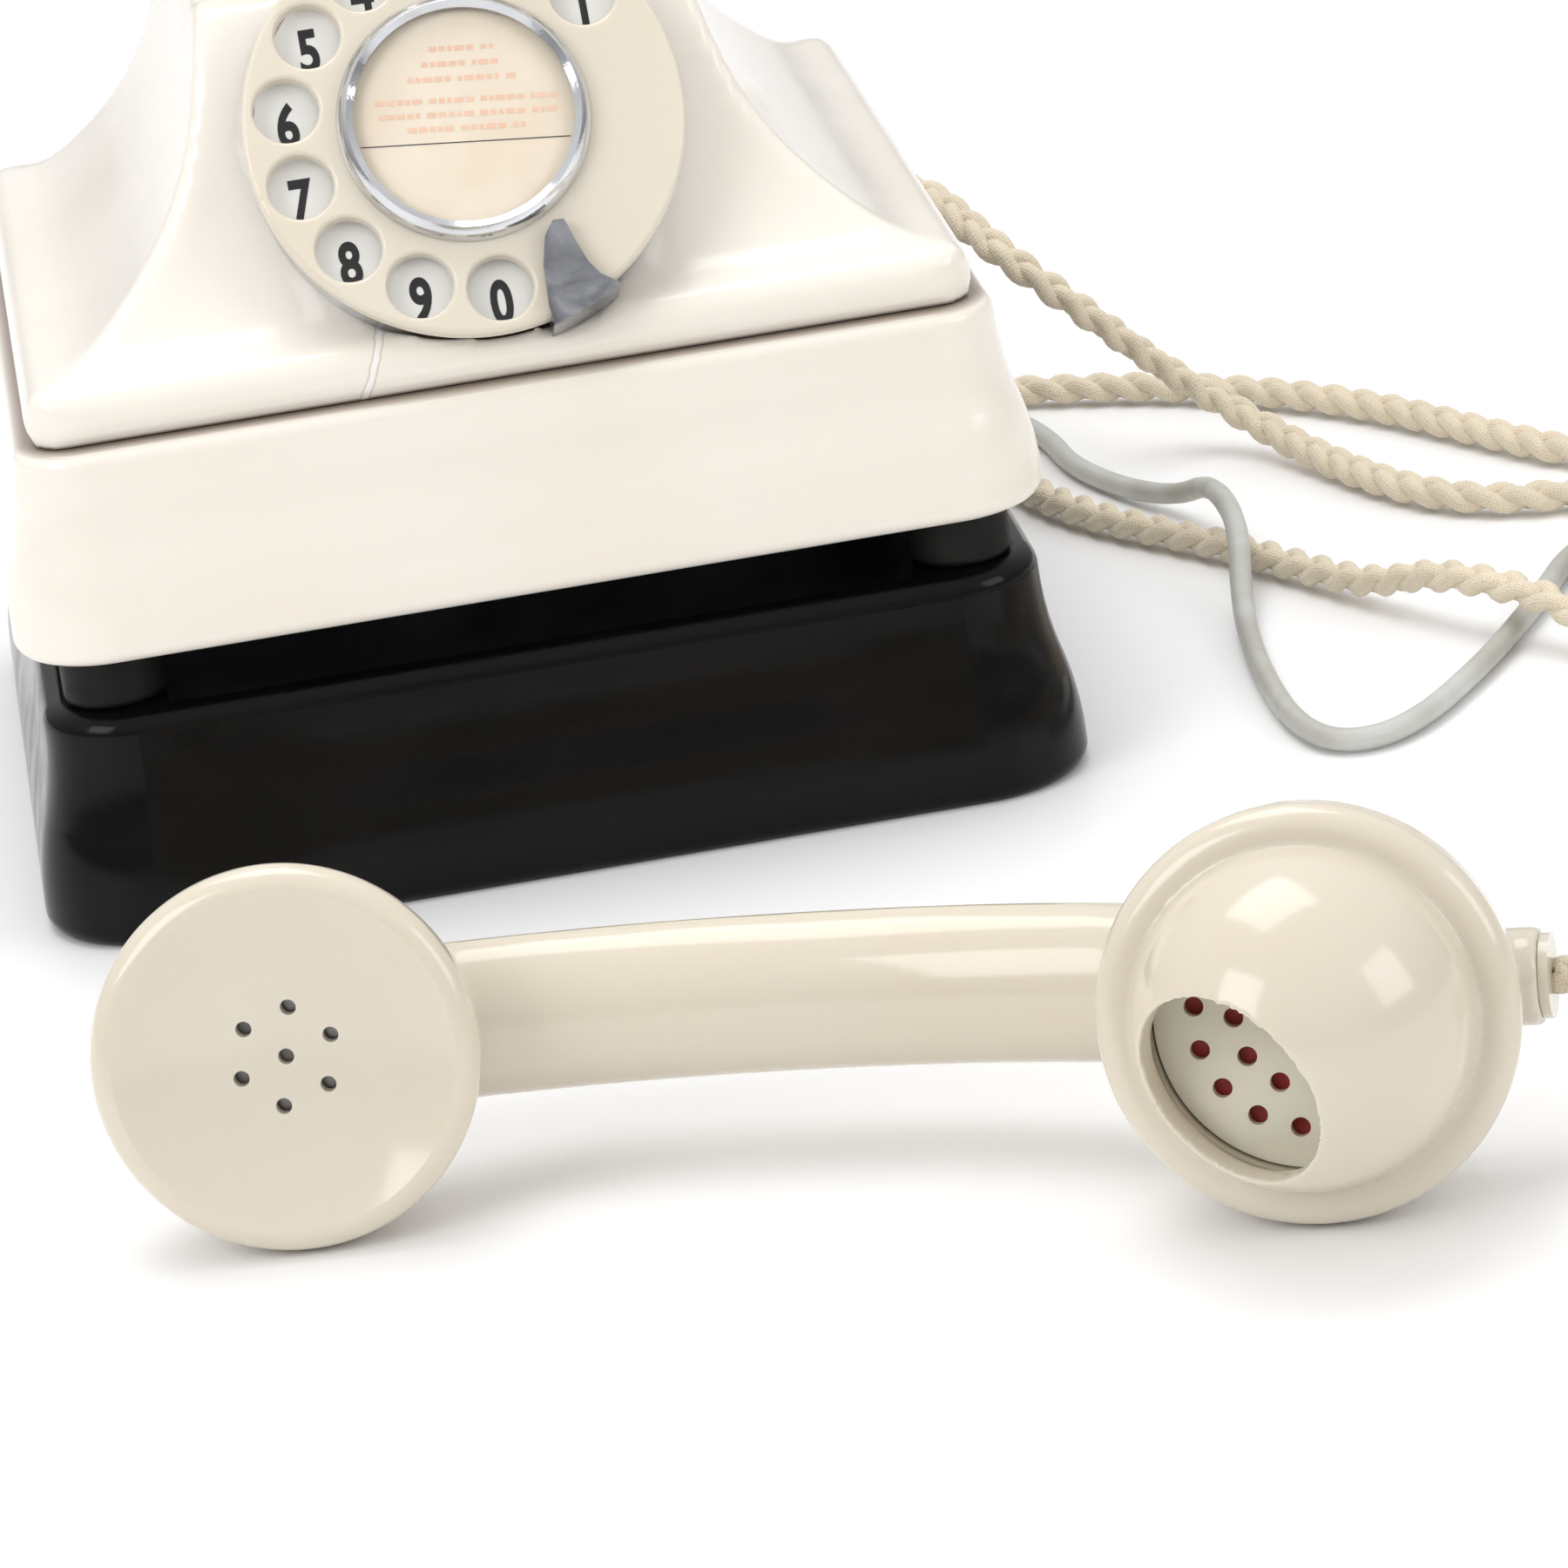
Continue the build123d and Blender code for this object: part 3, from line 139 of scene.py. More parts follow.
def apply_all(piece: Piece) -> None:
    """Apply every modifier and the object's own transform.

    Args:
        piece: the object.
    """
    activate(piece)
    for modifier in list(piece.modifiers):
        bpy.ops.object.modifier_apply(modifier=modifier.name)
    bpy.ops.object.transform_apply(location=True, rotation=True, scale=True)


def place(piece: Piece, frame: Matrix) -> None:
    """Move a finished mesh into a frame, with the object left at the origin."""
    piece.data.transform(frame)
    piece.data.update()


def mend(piece: Piece, weld: bool = False, fill: bool = False, outward: bool = False) -> None:
    """Mend a mesh all over.

    Args:
        piece: the piece.
        weld: merge the vertices that lie on each other.
        fill: close its open ends.
        outward: turn every face outwards.
    """
    activate(piece)
    bpy.ops.object.mode_set(mode="EDIT")
    bpy.ops.mesh.select_all(action="SELECT")
    if weld:
        bpy.ops.mesh.remove_doubles(threshold=WELD)
    if fill:
        bpy.ops.mesh.fill_holes(sides=0)
        bpy.ops.mesh.select_all(action="SELECT")
    if outward:
        bpy.ops.mesh.normals_make_consistent(inside=False)
    bpy.ops.object.mode_set(mode="OBJECT")


def dress(piece: Piece, material: Material) -> None:
    """Give a piece one material all over."""
    piece.data.materials.clear()
    piece.data.materials.append(material)


def settle(piece: Piece, material: Material, body: Body) -> None:
    """Dress a finished piece and make it move with a body.

    Args:
        piece: the piece.
        material: its finish.
        body: the body that it rides on.
    """
    dress(piece, material)
    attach(piece, body.value)


@dataclass
class SoftCopy:
    """A frame part copied and given the soft edges of a polished moulding.

    Attributes:
        node: the frame part.
        voxel: grain of the new skin, in metres.
        rounds: smoothing passes.
    """

    node: str
    voxel: float
    rounds: int

    def build(self, frame: dict, name: str) -> Piece:
        """Copy, weld, remesh and smooth the part.

        Args:
            frame: the loaded frame.
            name: name of the new piece.

        Returns:
            The new piece.
        """
        piece = link(name, frame["nodes"][self.node].data.copy())
        mend(piece, weld=True)
        skin = piece.modifiers.new("skin", "REMESH")
        skin.mode = "VOXEL"
        skin.voxel_size = self.voxel
        smooth = piece.modifiers.new("polish", "SMOOTH")
        smooth.factor = 0.5
        smooth.iterations = self.rounds
        apply_all(piece)
        bpy.ops.object.shade_smooth()
        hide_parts(self.node)
        return piece


# ---- Shader nodes ----


def feed(tree: Tree, node: Node, values: dict[str | int, object]) -> None:
    """Link or set the inputs of a node.

    Args:
        tree: the tree that it is in.
        node: the node.
        values: a socket to link or a value to set, for each input's name or number.
    """
    for key, value in values.items():
        if isinstance(value, Socket):
            tree.links.new(value, node.inputs[key])
        else:
            node.inputs[key].default_value = value


def add_node(tree: Tree, kind: str, values: dict[str | int, object] | None = None,
             **options: object) -> Node:
    """Add a shader node.

    Args:
        tree: the tree to add it to.
        kind: its type, without the leading ShaderNode.
        values: a socket to link or a value to set, for each input.
        options: the node's own settings.

    Returns:
        The new node.
    """
    node = tree.nodes.new("ShaderNode" + kind)
    for option, value in options.items():
        setattr(node, option, value)
    feed(tree, node, values or {})
    return node


def reckon(tree: Tree, operation: str, *terms: object) -> Socket:
    """Work out one sum on sockets or numbers, and give its result."""
    return add_node(tree, "Math", dict(enumerate(terms)), operation=operation).outputs[0]


def mixed(tree: Tree, share: object, first: object, second: object) -> Socket:
    """Mix two colours by a share, and give the result."""
    node = add_node(tree, "Mix", {"Factor": share, "A": first, "B": second}, data_type="RGBA")
    return node.outputs["Result"]


def fading(tree: Tree, distance: Socket, inner: float, outer: float, strength: float = 1.0) -> Socket:
    """Make a mask that is strong along a line and fades out away from it.

    Args:
        tree: the material's nodes.
        distance: distance from the line.
        inner: distance where it starts to fade.
        outer: distance where nothing is left.
        strength: the mask along the line.

    Returns:
        The mask.
    """
    reach = {"Value": distance, "From Min": inner, "From Max": outer, "To Min": strength, "To Max": 0.0}
    return add_node(tree, "MapRange", reach).outputs["Result"]


def ramp(tree: Tree, position: Socket, stops: Sequence[tuple[float, Colour]]) -> Socket:
    """Run through several colours.

    Args:
        tree: the nodes.
        position: the place on the ramp, from 0 to 1.
        stops: place and colour of each stop, in order.

    Returns:
        The colour.
    """
    node = add_node(tree, "ValToRGB", {"Fac": position})
    elements = node.color_ramp.elements
    while len(elements) < len(stops):
        elements.new(1.0)
    for element, (at, colour) in zip(elements, stops):
        element.position = at
        element.color = (*colour, 1)
    return node.outputs["Color"]


def object_coordinates(tree: Tree) -> tuple[Socket, Socket, Socket, Socket]:
    """Give the place on the piece as a vector and as its x, y and z."""
    spot = add_node(tree, "TexCoord").outputs["Object"]
    split = add_node(tree, "SeparateXYZ", {0: spot}).outputs
    return spot, split["X"], split["Y"], split["Z"]


def new_material(name: str) -> tuple[Material, Tree, Node]:
    """Make a material with nodes.

    Args:
        name: its name.

    Returns:
        The material, its tree and its Principled BSDF.
    """
    material = bpy.data.materials.new(name)
    material.use_nodes = True
    return material, material.node_tree, material.node_tree.nodes["Principled BSDF"]


class ShaderGroups:
    """Node groups for effects that several finishes use."""

    def __init__(self) -> None:
        """Build each group once."""
        self.cloudy = self._cloudy()
        self.wear = self._wear()

    @staticmethod
    def _new(name: str, inputs: dict[str, object], outputs: Sequence[str]) -> tuple[
            Tree, Node, Node]:
        """Make an empty group with its sockets.

        Args:
            name: the group's name.
            inputs: default of each input; a colour has four numbers.
            outputs: name of each output, led by the kind of its socket and a colon.

        Returns:
            The tree, its input node and its output node.
        """
        tree = bpy.data.node_groups.new(name, "ShaderNodeTree")
        for label, default in inputs.items():
            kind = "NodeSocketColor" if isinstance(default, tuple) else "NodeSocketFloat"
            tree.interface.new_socket(name=label, in_out="INPUT", socket_type=kind).default_value = default
        for output in outputs:
            kind, label = output.split(":")
            tree.interface.new_socket(name=label, in_out="OUTPUT", socket_type="NodeSocket" + kind)
        return tree, tree.nodes.new("NodeGroupInput"), tree.nodes.new("NodeGroupOutput")

    def _cloudy(self) -> Tree:
        """Colour that drifts between two shades, as an aged moulding does."""
        tree, source, sink = self._new(
            "cloudy_colour",
            {"Light": (1, 1, 1, 1), "Deep": (0.5, 0.5, 0.5, 1), "Scale": 20.0, "Amount": 0.5},
            ("Color:Colour", "Float:Mask"))
        given = source.outputs
        spot = add_node(tree, "TexCoord").outputs["Object"]
        noise = add_node(tree, "TexNoise", {
            "Vector": spot, "Scale": given["Scale"], "Detail": 4.0, "Distortion": 0.6})
        contrast = add_node(tree, "MapRange", {
            "Value": noise.outputs["Fac"], "From Min": 0.35, "From Max": 0.7})
        mask = reckon(tree, "MULTIPLY", contrast.outputs["Result"], given["Amount"])
        feed(tree, sink, {"Colour": mixed(tree, mask, given["Light"], given["Deep"]), "Mask": mask})
        return tree

    def _wear(self) -> Tree:
        """Roughness and relief of small scratches and handling marks."""
        tree, source, sink = self._new(
            "handling_wear", {"Smooth": 0.15, "Worn": 0.35, "Scale": 60.0, "Depth": 0.05},
            ("Float:Roughness", "Vector:Normal"))
        given = source.outputs
        spot = add_node(tree, "TexCoord").outputs["Object"]
        smudge = add_node(tree, "TexNoise", {"Vector": spot, "Scale": given["Scale"], "Detail": 5.0})
        finer = reckon(tree, "MULTIPLY", given["Scale"], 9.0)
        fine = add_node(tree, "TexNoise", {"Vector": spot, "Scale": finer, "Detail": 2.0})
        span = add_node(tree, "MapRange", {
            "Value": smudge.outputs["Fac"], "From Min": 0.4, "From Max": 0.75, "To Min": given["Smooth"],
            "To Max": given["Worn"]})
        bump = add_node(tree, "Bump", {
            "Height": fine.outputs["Fac"], "Strength": given["Depth"], "Distance": 0.0002})
        feed(tree, sink, {"Roughness": span.outputs["Result"], "Normal": bump.outputs["Normal"]})
        return tree


# ---- Finishes ----


@dataclass(frozen=True)
class Crack:
    """Filled crack that runs from the dial down to the joint.

    Attributes:
        foot: x and height where it meets the joint, in metres.
        slant: sideways shift for each metre of height.
        wander: how far it strays from a straight line.
        wander_scale: how often it does, as cycles per metre.
        top: height where it ends.
        front: y that it stays in front of.
        half_width: from its middle to where it starts to fade.
        half_reach: from its middle to where it is gone.
        filling: place on the way out from its middle, and the colour there.
        filling_scale: places on that way for each metre.
    """

    foot: tuple[float, float] = (-0.0236, 0.0935)
    slant: float = 0.48
    wander: float = 0.0022
    wander_scale: float = 160.0
    top: float = 0.1035
    front: float = -0.05
    half_width: float = 0.0006
    half_reach: float = 0.0011
    filling: Sequence[tuple[float, Colour]] = ((0.0, (0.93, 0.92, 0.90)), (0.42, (0.90, 0.88, 0.84)),
                                               (0.6, (0.60, 0.52, 0.42)))
    filling_scale: float = 850.0

    def paint(self, tree: Tree, colour: Socket) -> Socket:
        """Draw the crack over a colour.

        Args:
            tree: the material's nodes.
            colour: the colour without the crack.

        Returns:
            The colour with the crack.
        """
        spot, x, y, z = object_coordinates(tree)
        stray = add_node(tree, "TexNoise", {"Vector": spot, "Scale": self.wander_scale})
        straight = reckon(tree, "MULTIPLY", reckon(tree, "SUBTRACT", z, self.foot[1]), self.slant)
        line = reckon(tree, "ADD", straight, reckon(tree, "MULTIPLY", stray.outputs["Fac"], self.wander))
        away = reckon(tree, "ABSOLUTE", reckon(tree, "SUBTRACT", reckon(tree, "ADD", x, -self.foot[0]), line))
        here = reckon(tree, "MULTIPLY", reckon(tree, "LESS_THAN", z, self.top),
                      reckon(tree, "LESS_THAN", y, self.front))
        filled = ramp(tree, reckon(tree, "MULTIPLY", away, self.filling_scale), self.filling)
        near = fading(tree, away, self.half_width, self.half_reach)
        return mixed(tree, reckon(tree, "MULTIPLY", near, here), colour, filled)


@dataclass(frozen=True)
class JointDirt:
    """Dirt in a narrow level band, where it gathers between two mouldings.

    Attributes:
        level: height of the joint, in metres.
        reach: how far above and below it the dirt goes.
        strength: how far the joint itself is darkened.
        shade: colour of the dirt.
    """

    level: float = JOINT_LEVEL
    reach: float = 0.0009
    strength: float = 0.75
    shade: Colour = (0.12, 0.06, 0.03)

    def paint(self, tree: Tree, colour: Socket) -> Socket:
        """Lay the dirt over a colour.

        Args:
            tree: the material's nodes.
            colour: the colour without dirt.

        Returns:
            The colour with dirt.
        """
        height = object_coordinates(tree)[3]
        away = reckon(tree, "ABSOLUTE", reckon(tree, "SUBTRACT", height, self.level))
        return mixed(tree, fading(tree, away, 0.0, self.reach, self.strength), colour, (*self.shade, 1))


@dataclass(frozen=True)
class Finish:
    """A surface finish: two shades that drift into each other, gloss and wear.

    Attributes:
        name: material name.
        light: main colour.
        deep: colour of its darker clouds.
        smooth: roughness where it is polished.
        worn: roughness where it is handled.
        metallic: 1 for metal.
        coat: weight of a clear coat.
        translucency: subsurface weight.
        scale: size of its clouds, as cycles per metre.
        amount: how far the clouds go to the deep shade.
        relief: strength of its fine bumps.
        gloss: specular level.
        marks: what is painted over its colour, in order.
    """

    name: str
    light: Colour
    deep: Colour
    smooth: float = 0.2
    worn: float = 0.35
    metallic: float = 0.0
    coat: float = 0.0
    translucency: float = 0.0
    scale: float = 18.0
    amount: float = 0.5
    relief: float = 0.05
    gloss: float = 0.5
    marks: tuple[JointDirt | Crack, ...] = ()

    def material(self, groups: ShaderGroups) -> Material:
        """Build the material.

        Args:
            groups: the shared node groups.

        Returns:
            The new material.
        """
        material, tree, shader = new_material(self.name)
        cloudy = add_node(tree, "Group", {
            "Light": (*self.light, 1), "Deep": (*self.deep, 1), "Scale": self.scale,
            "Amount": self.amount}, node_tree=groups.cloudy)
        wear = add_node(tree, "Group", {
            "Smooth": self.smooth, "Worn": self.worn, "Scale": self.scale * 3,
            "Depth": self.relief}, node_tree=groups.wear)
        colour = cloudy.outputs["Colour"]
        for mark in self.marks:
            colour = mark.paint(tree, colour)
        feed(tree, shader, {
            "Base Color": colour, "Roughness": wear.outputs["Roughness"], "Normal": wear.outputs["Normal"],
            "Metallic": self.metallic, "Specular IOR Level": self.gloss, "Coat Weight": self.coat,
            "Coat Roughness": 0.08, "Subsurface Weight": self.translucency,
            "Subsurface Radius": (0.004, 0.003, 0.002), "Subsurface Scale": 1.0,
        })
        return material


@dataclass(frozen=True)
class Textile:
    """Plaited cotton: each strand is a woven sleeve of fine threads.

    Attributes:
        name: material name.
        light: colour of the threads.
        deep: painted shade between the threads.
        threads: thread rows per metre of strand.
        threads_around: thread rows round a strand.
    """

    name: str
    light: Colour
    deep: Colour
    threads: float = 1800.0
    threads_around: float = 18.0

    def material(self, groups: ShaderGroups) -> Material:
        """Build the material from the strand's own UV map, in metres along and turns around.

        Args:
            groups: the shared node groups.

        Returns:
            The new material.
        """
        material, tree, shader = new_material(self.name)
        uv = add_node(tree, "UVMap", uv_map="strand")
        mapping = add_node(tree, "Mapping", {
            "Vector": uv.outputs["UV"], "Scale": (self.threads, self.threads_around, 1.0)})
        checks = add_node(tree, "TexVoronoi", {
            "Vector": mapping.outputs["Vector"], "Scale": 1.0, "Randomness": 0.25})
        # painted shade: darker towards the edges of each thread, in the hollows of the weave
        weave_shade = add_node(tree, "MapRange", {
            "Value": checks.outputs["Distance"], "From Min": 0.3, "From Max": 1.1, "To Max": 0.8})
        dull = tuple(0.82 * part for part in self.light)
        cloudy = add_node(tree, "Group", {
            "Light": (*self.light, 1), "Deep": (*dull, 1), "Scale": 90.0}, node_tree=groups.cloudy)
        bump = add_node(tree, "Bump", {
            "Height": checks.outputs["Distance"], "Strength": 0.7, "Distance": 0.0004}, invert=True)
        colour = mixed(tree, weave_shade.outputs["Result"], cloudy.outputs["Colour"], (*self.deep, 1))
        feed(tree, shader, {
            "Base Color": colour, "Normal": bump.outputs["Normal"], "Roughness": 0.85,
            "Sheen Weight": 0.35})
        return material


@dataclass(frozen=True)
class Clear:
    """Clear moulded window."""

    name: str

    def material(self, groups: ShaderGroups) -> Material:
        """Build the material; the shared groups aren't needed."""
        material, tree, shader = new_material(self.name)
        feed(tree, shader, {
            "Base Color": (0.98, 0.97, 0.94, 1), "Transmission Weight": 1.0, "Roughness": 0.02,
            "IOR": 1.35})
        through = add_node(tree, "BsdfTransparent")
        rays = add_node(tree, "LightPath")
        mix = add_node(tree, "MixShader", {
            "Fac": rays.outputs["Is Shadow Ray"], 1: shader.outputs["BSDF"], 2: through.outputs["BSDF"]})
        feed(tree, tree.nodes["Material Output"], {"Surface": mix.outputs["Shader"]})
        return material


FINISHES = {
    "black_case": Finish("black_moulding", (0.002, 0.002, 0.0022), (0.006, 0.005, 0.004), 0.12, 0.26,
                         scale=25, relief=0.02, gloss=0.16),
    "ivory_case": Finish("ivory_moulding", (0.89, 0.84, 0.765), (0.85, 0.775, 0.66), 0.16, 0.28, coat=0.2,
                         translucency=0.15, scale=9, amount=0.45, relief=0.015,
                         marks=(JointDirt(),)),
    "ivory_handset": Finish("cream_moulding", (0.70, 0.645, 0.54), (0.67, 0.59, 0.455), 0.13, 0.22, coat=0.3,
                            translucency=0.25, scale=12, amount=0.55, relief=0.012),
    "dial_plastic": Finish("dial_moulding", (0.74, 0.68, 0.57), (0.70, 0.62, 0.49), 0.16, 0.28, coat=0.2,
                           translucency=0.15, scale=22, amount=0.5, relief=0.02),
    "chrome": Finish("polished_plating", (0.72, 0.73, 0.75), (0.45, 0.45, 0.47), 0.05, 0.22, metallic=1,
                     scale=60, relief=0.06),
    "steel": Finish("plain_steel", (0.42, 0.42, 0.43), (0.25, 0.24, 0.23), 0.3, 0.55, metallic=1, scale=40),
    "iron": Finish("dull_iron", (0.12, 0.12, 0.12), (0.07, 0.06, 0.05), 0.5, 0.7, metallic=1, scale=40),
    "brass": Finish("turned_brass", (0.6, 0.42, 0.16), (0.35, 0.22, 0.08), 0.25, 0.5, metallic=1, scale=40),
    "copper_winding": Finish("varnished_winding", (0.25, 0.07, 0.03), (0.14, 0.03, 0.02), 0.35, 0.5,
                             scale=80),
    "enamel": Finish("white_enamel", (0.90, 0.90, 0.89), (0.82, 0.80, 0.77), 0.15, 0.3, scale=50, amount=0.3),
    "card": Finish("aged_card", (0.77, 0.70, 0.60), (0.70, 0.59, 0.48), 0.6, 0.8, scale=70, amount=0.6),
    "rubber": Finish("black_rubber", (0.006, 0.006, 0.006), (0.018, 0.016, 0.014), 0.5, 0.75, scale=50,
                     gloss=0.2),
    "insulator": Finish("brown_insulator", (0.05, 0.025, 0.015), (0.03, 0.015, 0.01), 0.4, 0.6, scale=50),
    "capacitor_can": Finish("grey_paint", (0.25, 0.27, 0.26), (0.2, 0.2, 0.19), 0.35, 0.5, scale=50),
    "line_cable": Finish("grey_sheath", (0.56, 0.57, 0.54), (0.38, 0.36, 0.31), 0.35, 0.55, scale=45,
                         amount=0.8),
    "plaited_cord": Textile("plaited_cotton", (0.83, 0.73, 0.56), (0.50, 0.39, 0.25)),
    "clear": Clear("clear_window"),
}
CRACKED_IVORY = replace(FINISHES["ivory_case"], name="ivory_moulding_mended", smooth=0.14, worn=0.26,
                        marks=(JointDirt(), Crack()))
INK = Finish("black_ink", (0.01, 0.01, 0.012), (0.02, 0.02, 0.022), 0.35, 0.5, scale=80)
RED_INK = Finish("faded_red_ink", (0.77, 0.50, 0.38), (0.80, 0.60, 0.48), 0.6, 0.8, scale=90)
NODE_FINISHES = {
    "transmitter_capsule": Finish("dark_red_gauze", (0.34, 0.02, 0.015), (0.20, 0.012, 0.01), 0.5, 0.7,
                                  scale=120),
    "finger_stop": Finish("worn_stop_steel", (0.40, 0.41, 0.44), (0.07, 0.07, 0.08), 0.16, 0.42, metallic=1,
                          scale=140, amount=0.8, relief=0.25),
    # grille_disc: painted light, a cream lighter than the handset moulding's own, standing in for light let
    # through the hood
    "grille_disc": Finish("grille_painted_light", (0.93, 0.88, 0.74), (0.90, 0.82, 0.64), 0.2, 0.3,
                          translucency=0.3, scale=40, relief=0.01),
}


# ---- Cords ----


def millimetres(*points: Sequence[float], lying: float = 3.5) -> list[Vector]:
    """Turn route points in millimetres into metres.

    Args:
        points: x, y and height of each, or x and y where the cord lies on the table.
        lying: height of the middle of a cord that lies there.

    Returns:
        The points.
    """
    return [Vector((*point, lying)[:3]) * MM for point in points]


@dataclass
class Coil:
    """Neat turns of cord lying on the table, wound clockwise seen from above.

    Attributes:
        centre: x and y of the coil's middle, in millimetres.
        marks: angle in degrees, radius and height in millimetres, along the winding.
        step: angle between control points.
    """

    centre: tuple[float, float]
    marks: Sequence[tuple[float, float, float]]
    step: float = 30.0

    def points(self) -> list[Vector]:
        """Control points of the turns, a little outside the line that they draw."""
        outside = 1 / math.cos(math.radians(self.step / 2))
        found = []
        for mark, next_mark in zip(self.marks, self.marks[1:]):
            count = round((mark[0] - next_mark[0]) / self.step)
            for k in range(count):
                angle, radius, height = (a + (b - a) * (k / count) for a, b in zip(mark, next_mark))
                turn = math.radians(angle)
                x = self.centre[0] + radius * outside * math.cos(turn)
                y = self.centre[1] + radius * outside * math.sin(turn)
                found.append(Vector((x, y, height)) * MM)
        return found


@dataclass
class Route:
    """The line of a cord: a smooth spline through its control points.

    Attributes:
        name: name of the line.
        points: control points, in metres.
    """

    name: str
    points: Sequence[Vector]

    def curve(self, diameter: float = 0.0) -> Piece:
        """Make the spline as a curve, round if it has a diameter.

        Args:
            diameter: of the round cord, or 0 for a bare line.

        Returns:
            The curve object.
        """
        data = bpy.data.curves.new(self.name, "CURVE")
        data.dimensions = "3D"
        spline = data.splines.new("NURBS")
        spline.points.add(len(self.points) - 1)
        for control, point in zip(spline.points, self.points):
            control.co = (*point, 1)
        spline.order_u = 3
        spline.use_endpoint_u = True
        spline.resolution_u = 10
        data.bevel_depth = diameter / 2
        data.bevel_resolution = 3
        data.use_fill_caps = diameter > 0
        return link(self.name, data)

    def line(self) -> list[Vector]:
        """Read the spline's own points, with doubles left out."""
        piece = self.curve()
        mesh = bpy.data.meshes.new_from_object(piece)
        found = [vertex.co.copy() for vertex in mesh.vertices]
        bpy.data.objects.remove(piece)
        bpy.data.meshes.remove(mesh)
        return [p for k, p in enumerate(found) if k == 0 or (p - found[k - 1]).length > 1e-7]


class Follower:
    """Places along a line by distance, with a sideways direction that never flips.

    Attributes:
        FLAT_ENOUGH: level share of a heading from which its side is drawn towards the level.
        LEVELLING: how much of the level side is mixed in at each point.
    """

    FLAT_ENOUGH = 0.6
    LEVELLING = 0.15

    def __init__(self, line: Sequence[Vector]) -> None:
        """Work out distances and directions once.

        Args:
            line: points of the line.
        """
        self.line = line
        self.along = [0.0]
        for a, b in zip(line, line[1:]):
            self.along.append(self.along[-1] + (b - a).length)
        self.length = self.along[-1]
        heading = (line[1] - line[0]).normalized()
        side = heading.cross(Vector((0, 0, 1))).normalized()
        self.sides = [side]
        for a, b in zip(line, line[1:]):
            heading = (b - a).normalized()
            side = (side - heading * side.dot(heading)).normalized()
            level = heading.cross(Vector((0, 0, 1)))
            if level.length > self.FLAT_ENOUGH:
                if level.dot(side) < 0:
                    level = -level
                side = (side * (1 - self.LEVELLING) + level.normalized() * self.LEVELLING).normalized()
            self.sides.append(side)
        self.at = 0

    def place(self, distance: float) -> tuple[Vector, Vector, Vector, Vector]:
        """Find a place; distances are asked for in rising order, and 0 starts again.

        Args:
            distance: metres from the start.

        Returns:
            The point, the heading, the side and the upper direction.
        """
        if distance <= 0:
            self.at = 0
        while self.at < len(self.line) - 2 and self.along[self.at + 1] < distance:
            self.at += 1
        start, end = self.line[self.at], self.line[self.at + 1]
        part = (distance - self.along[self.at]) / (self.along[self.at + 1] - self.along[self.at])
        part = min(1.0, max(0.0, part))
        heading = (end - start).normalized()
        side = self.sides[self.at].lerp(self.sides[self.at + 1], part)
        side = (side - heading * side.dot(heading)).normalized()
        return start.lerp(end, part), heading, side, side.cross(heading)


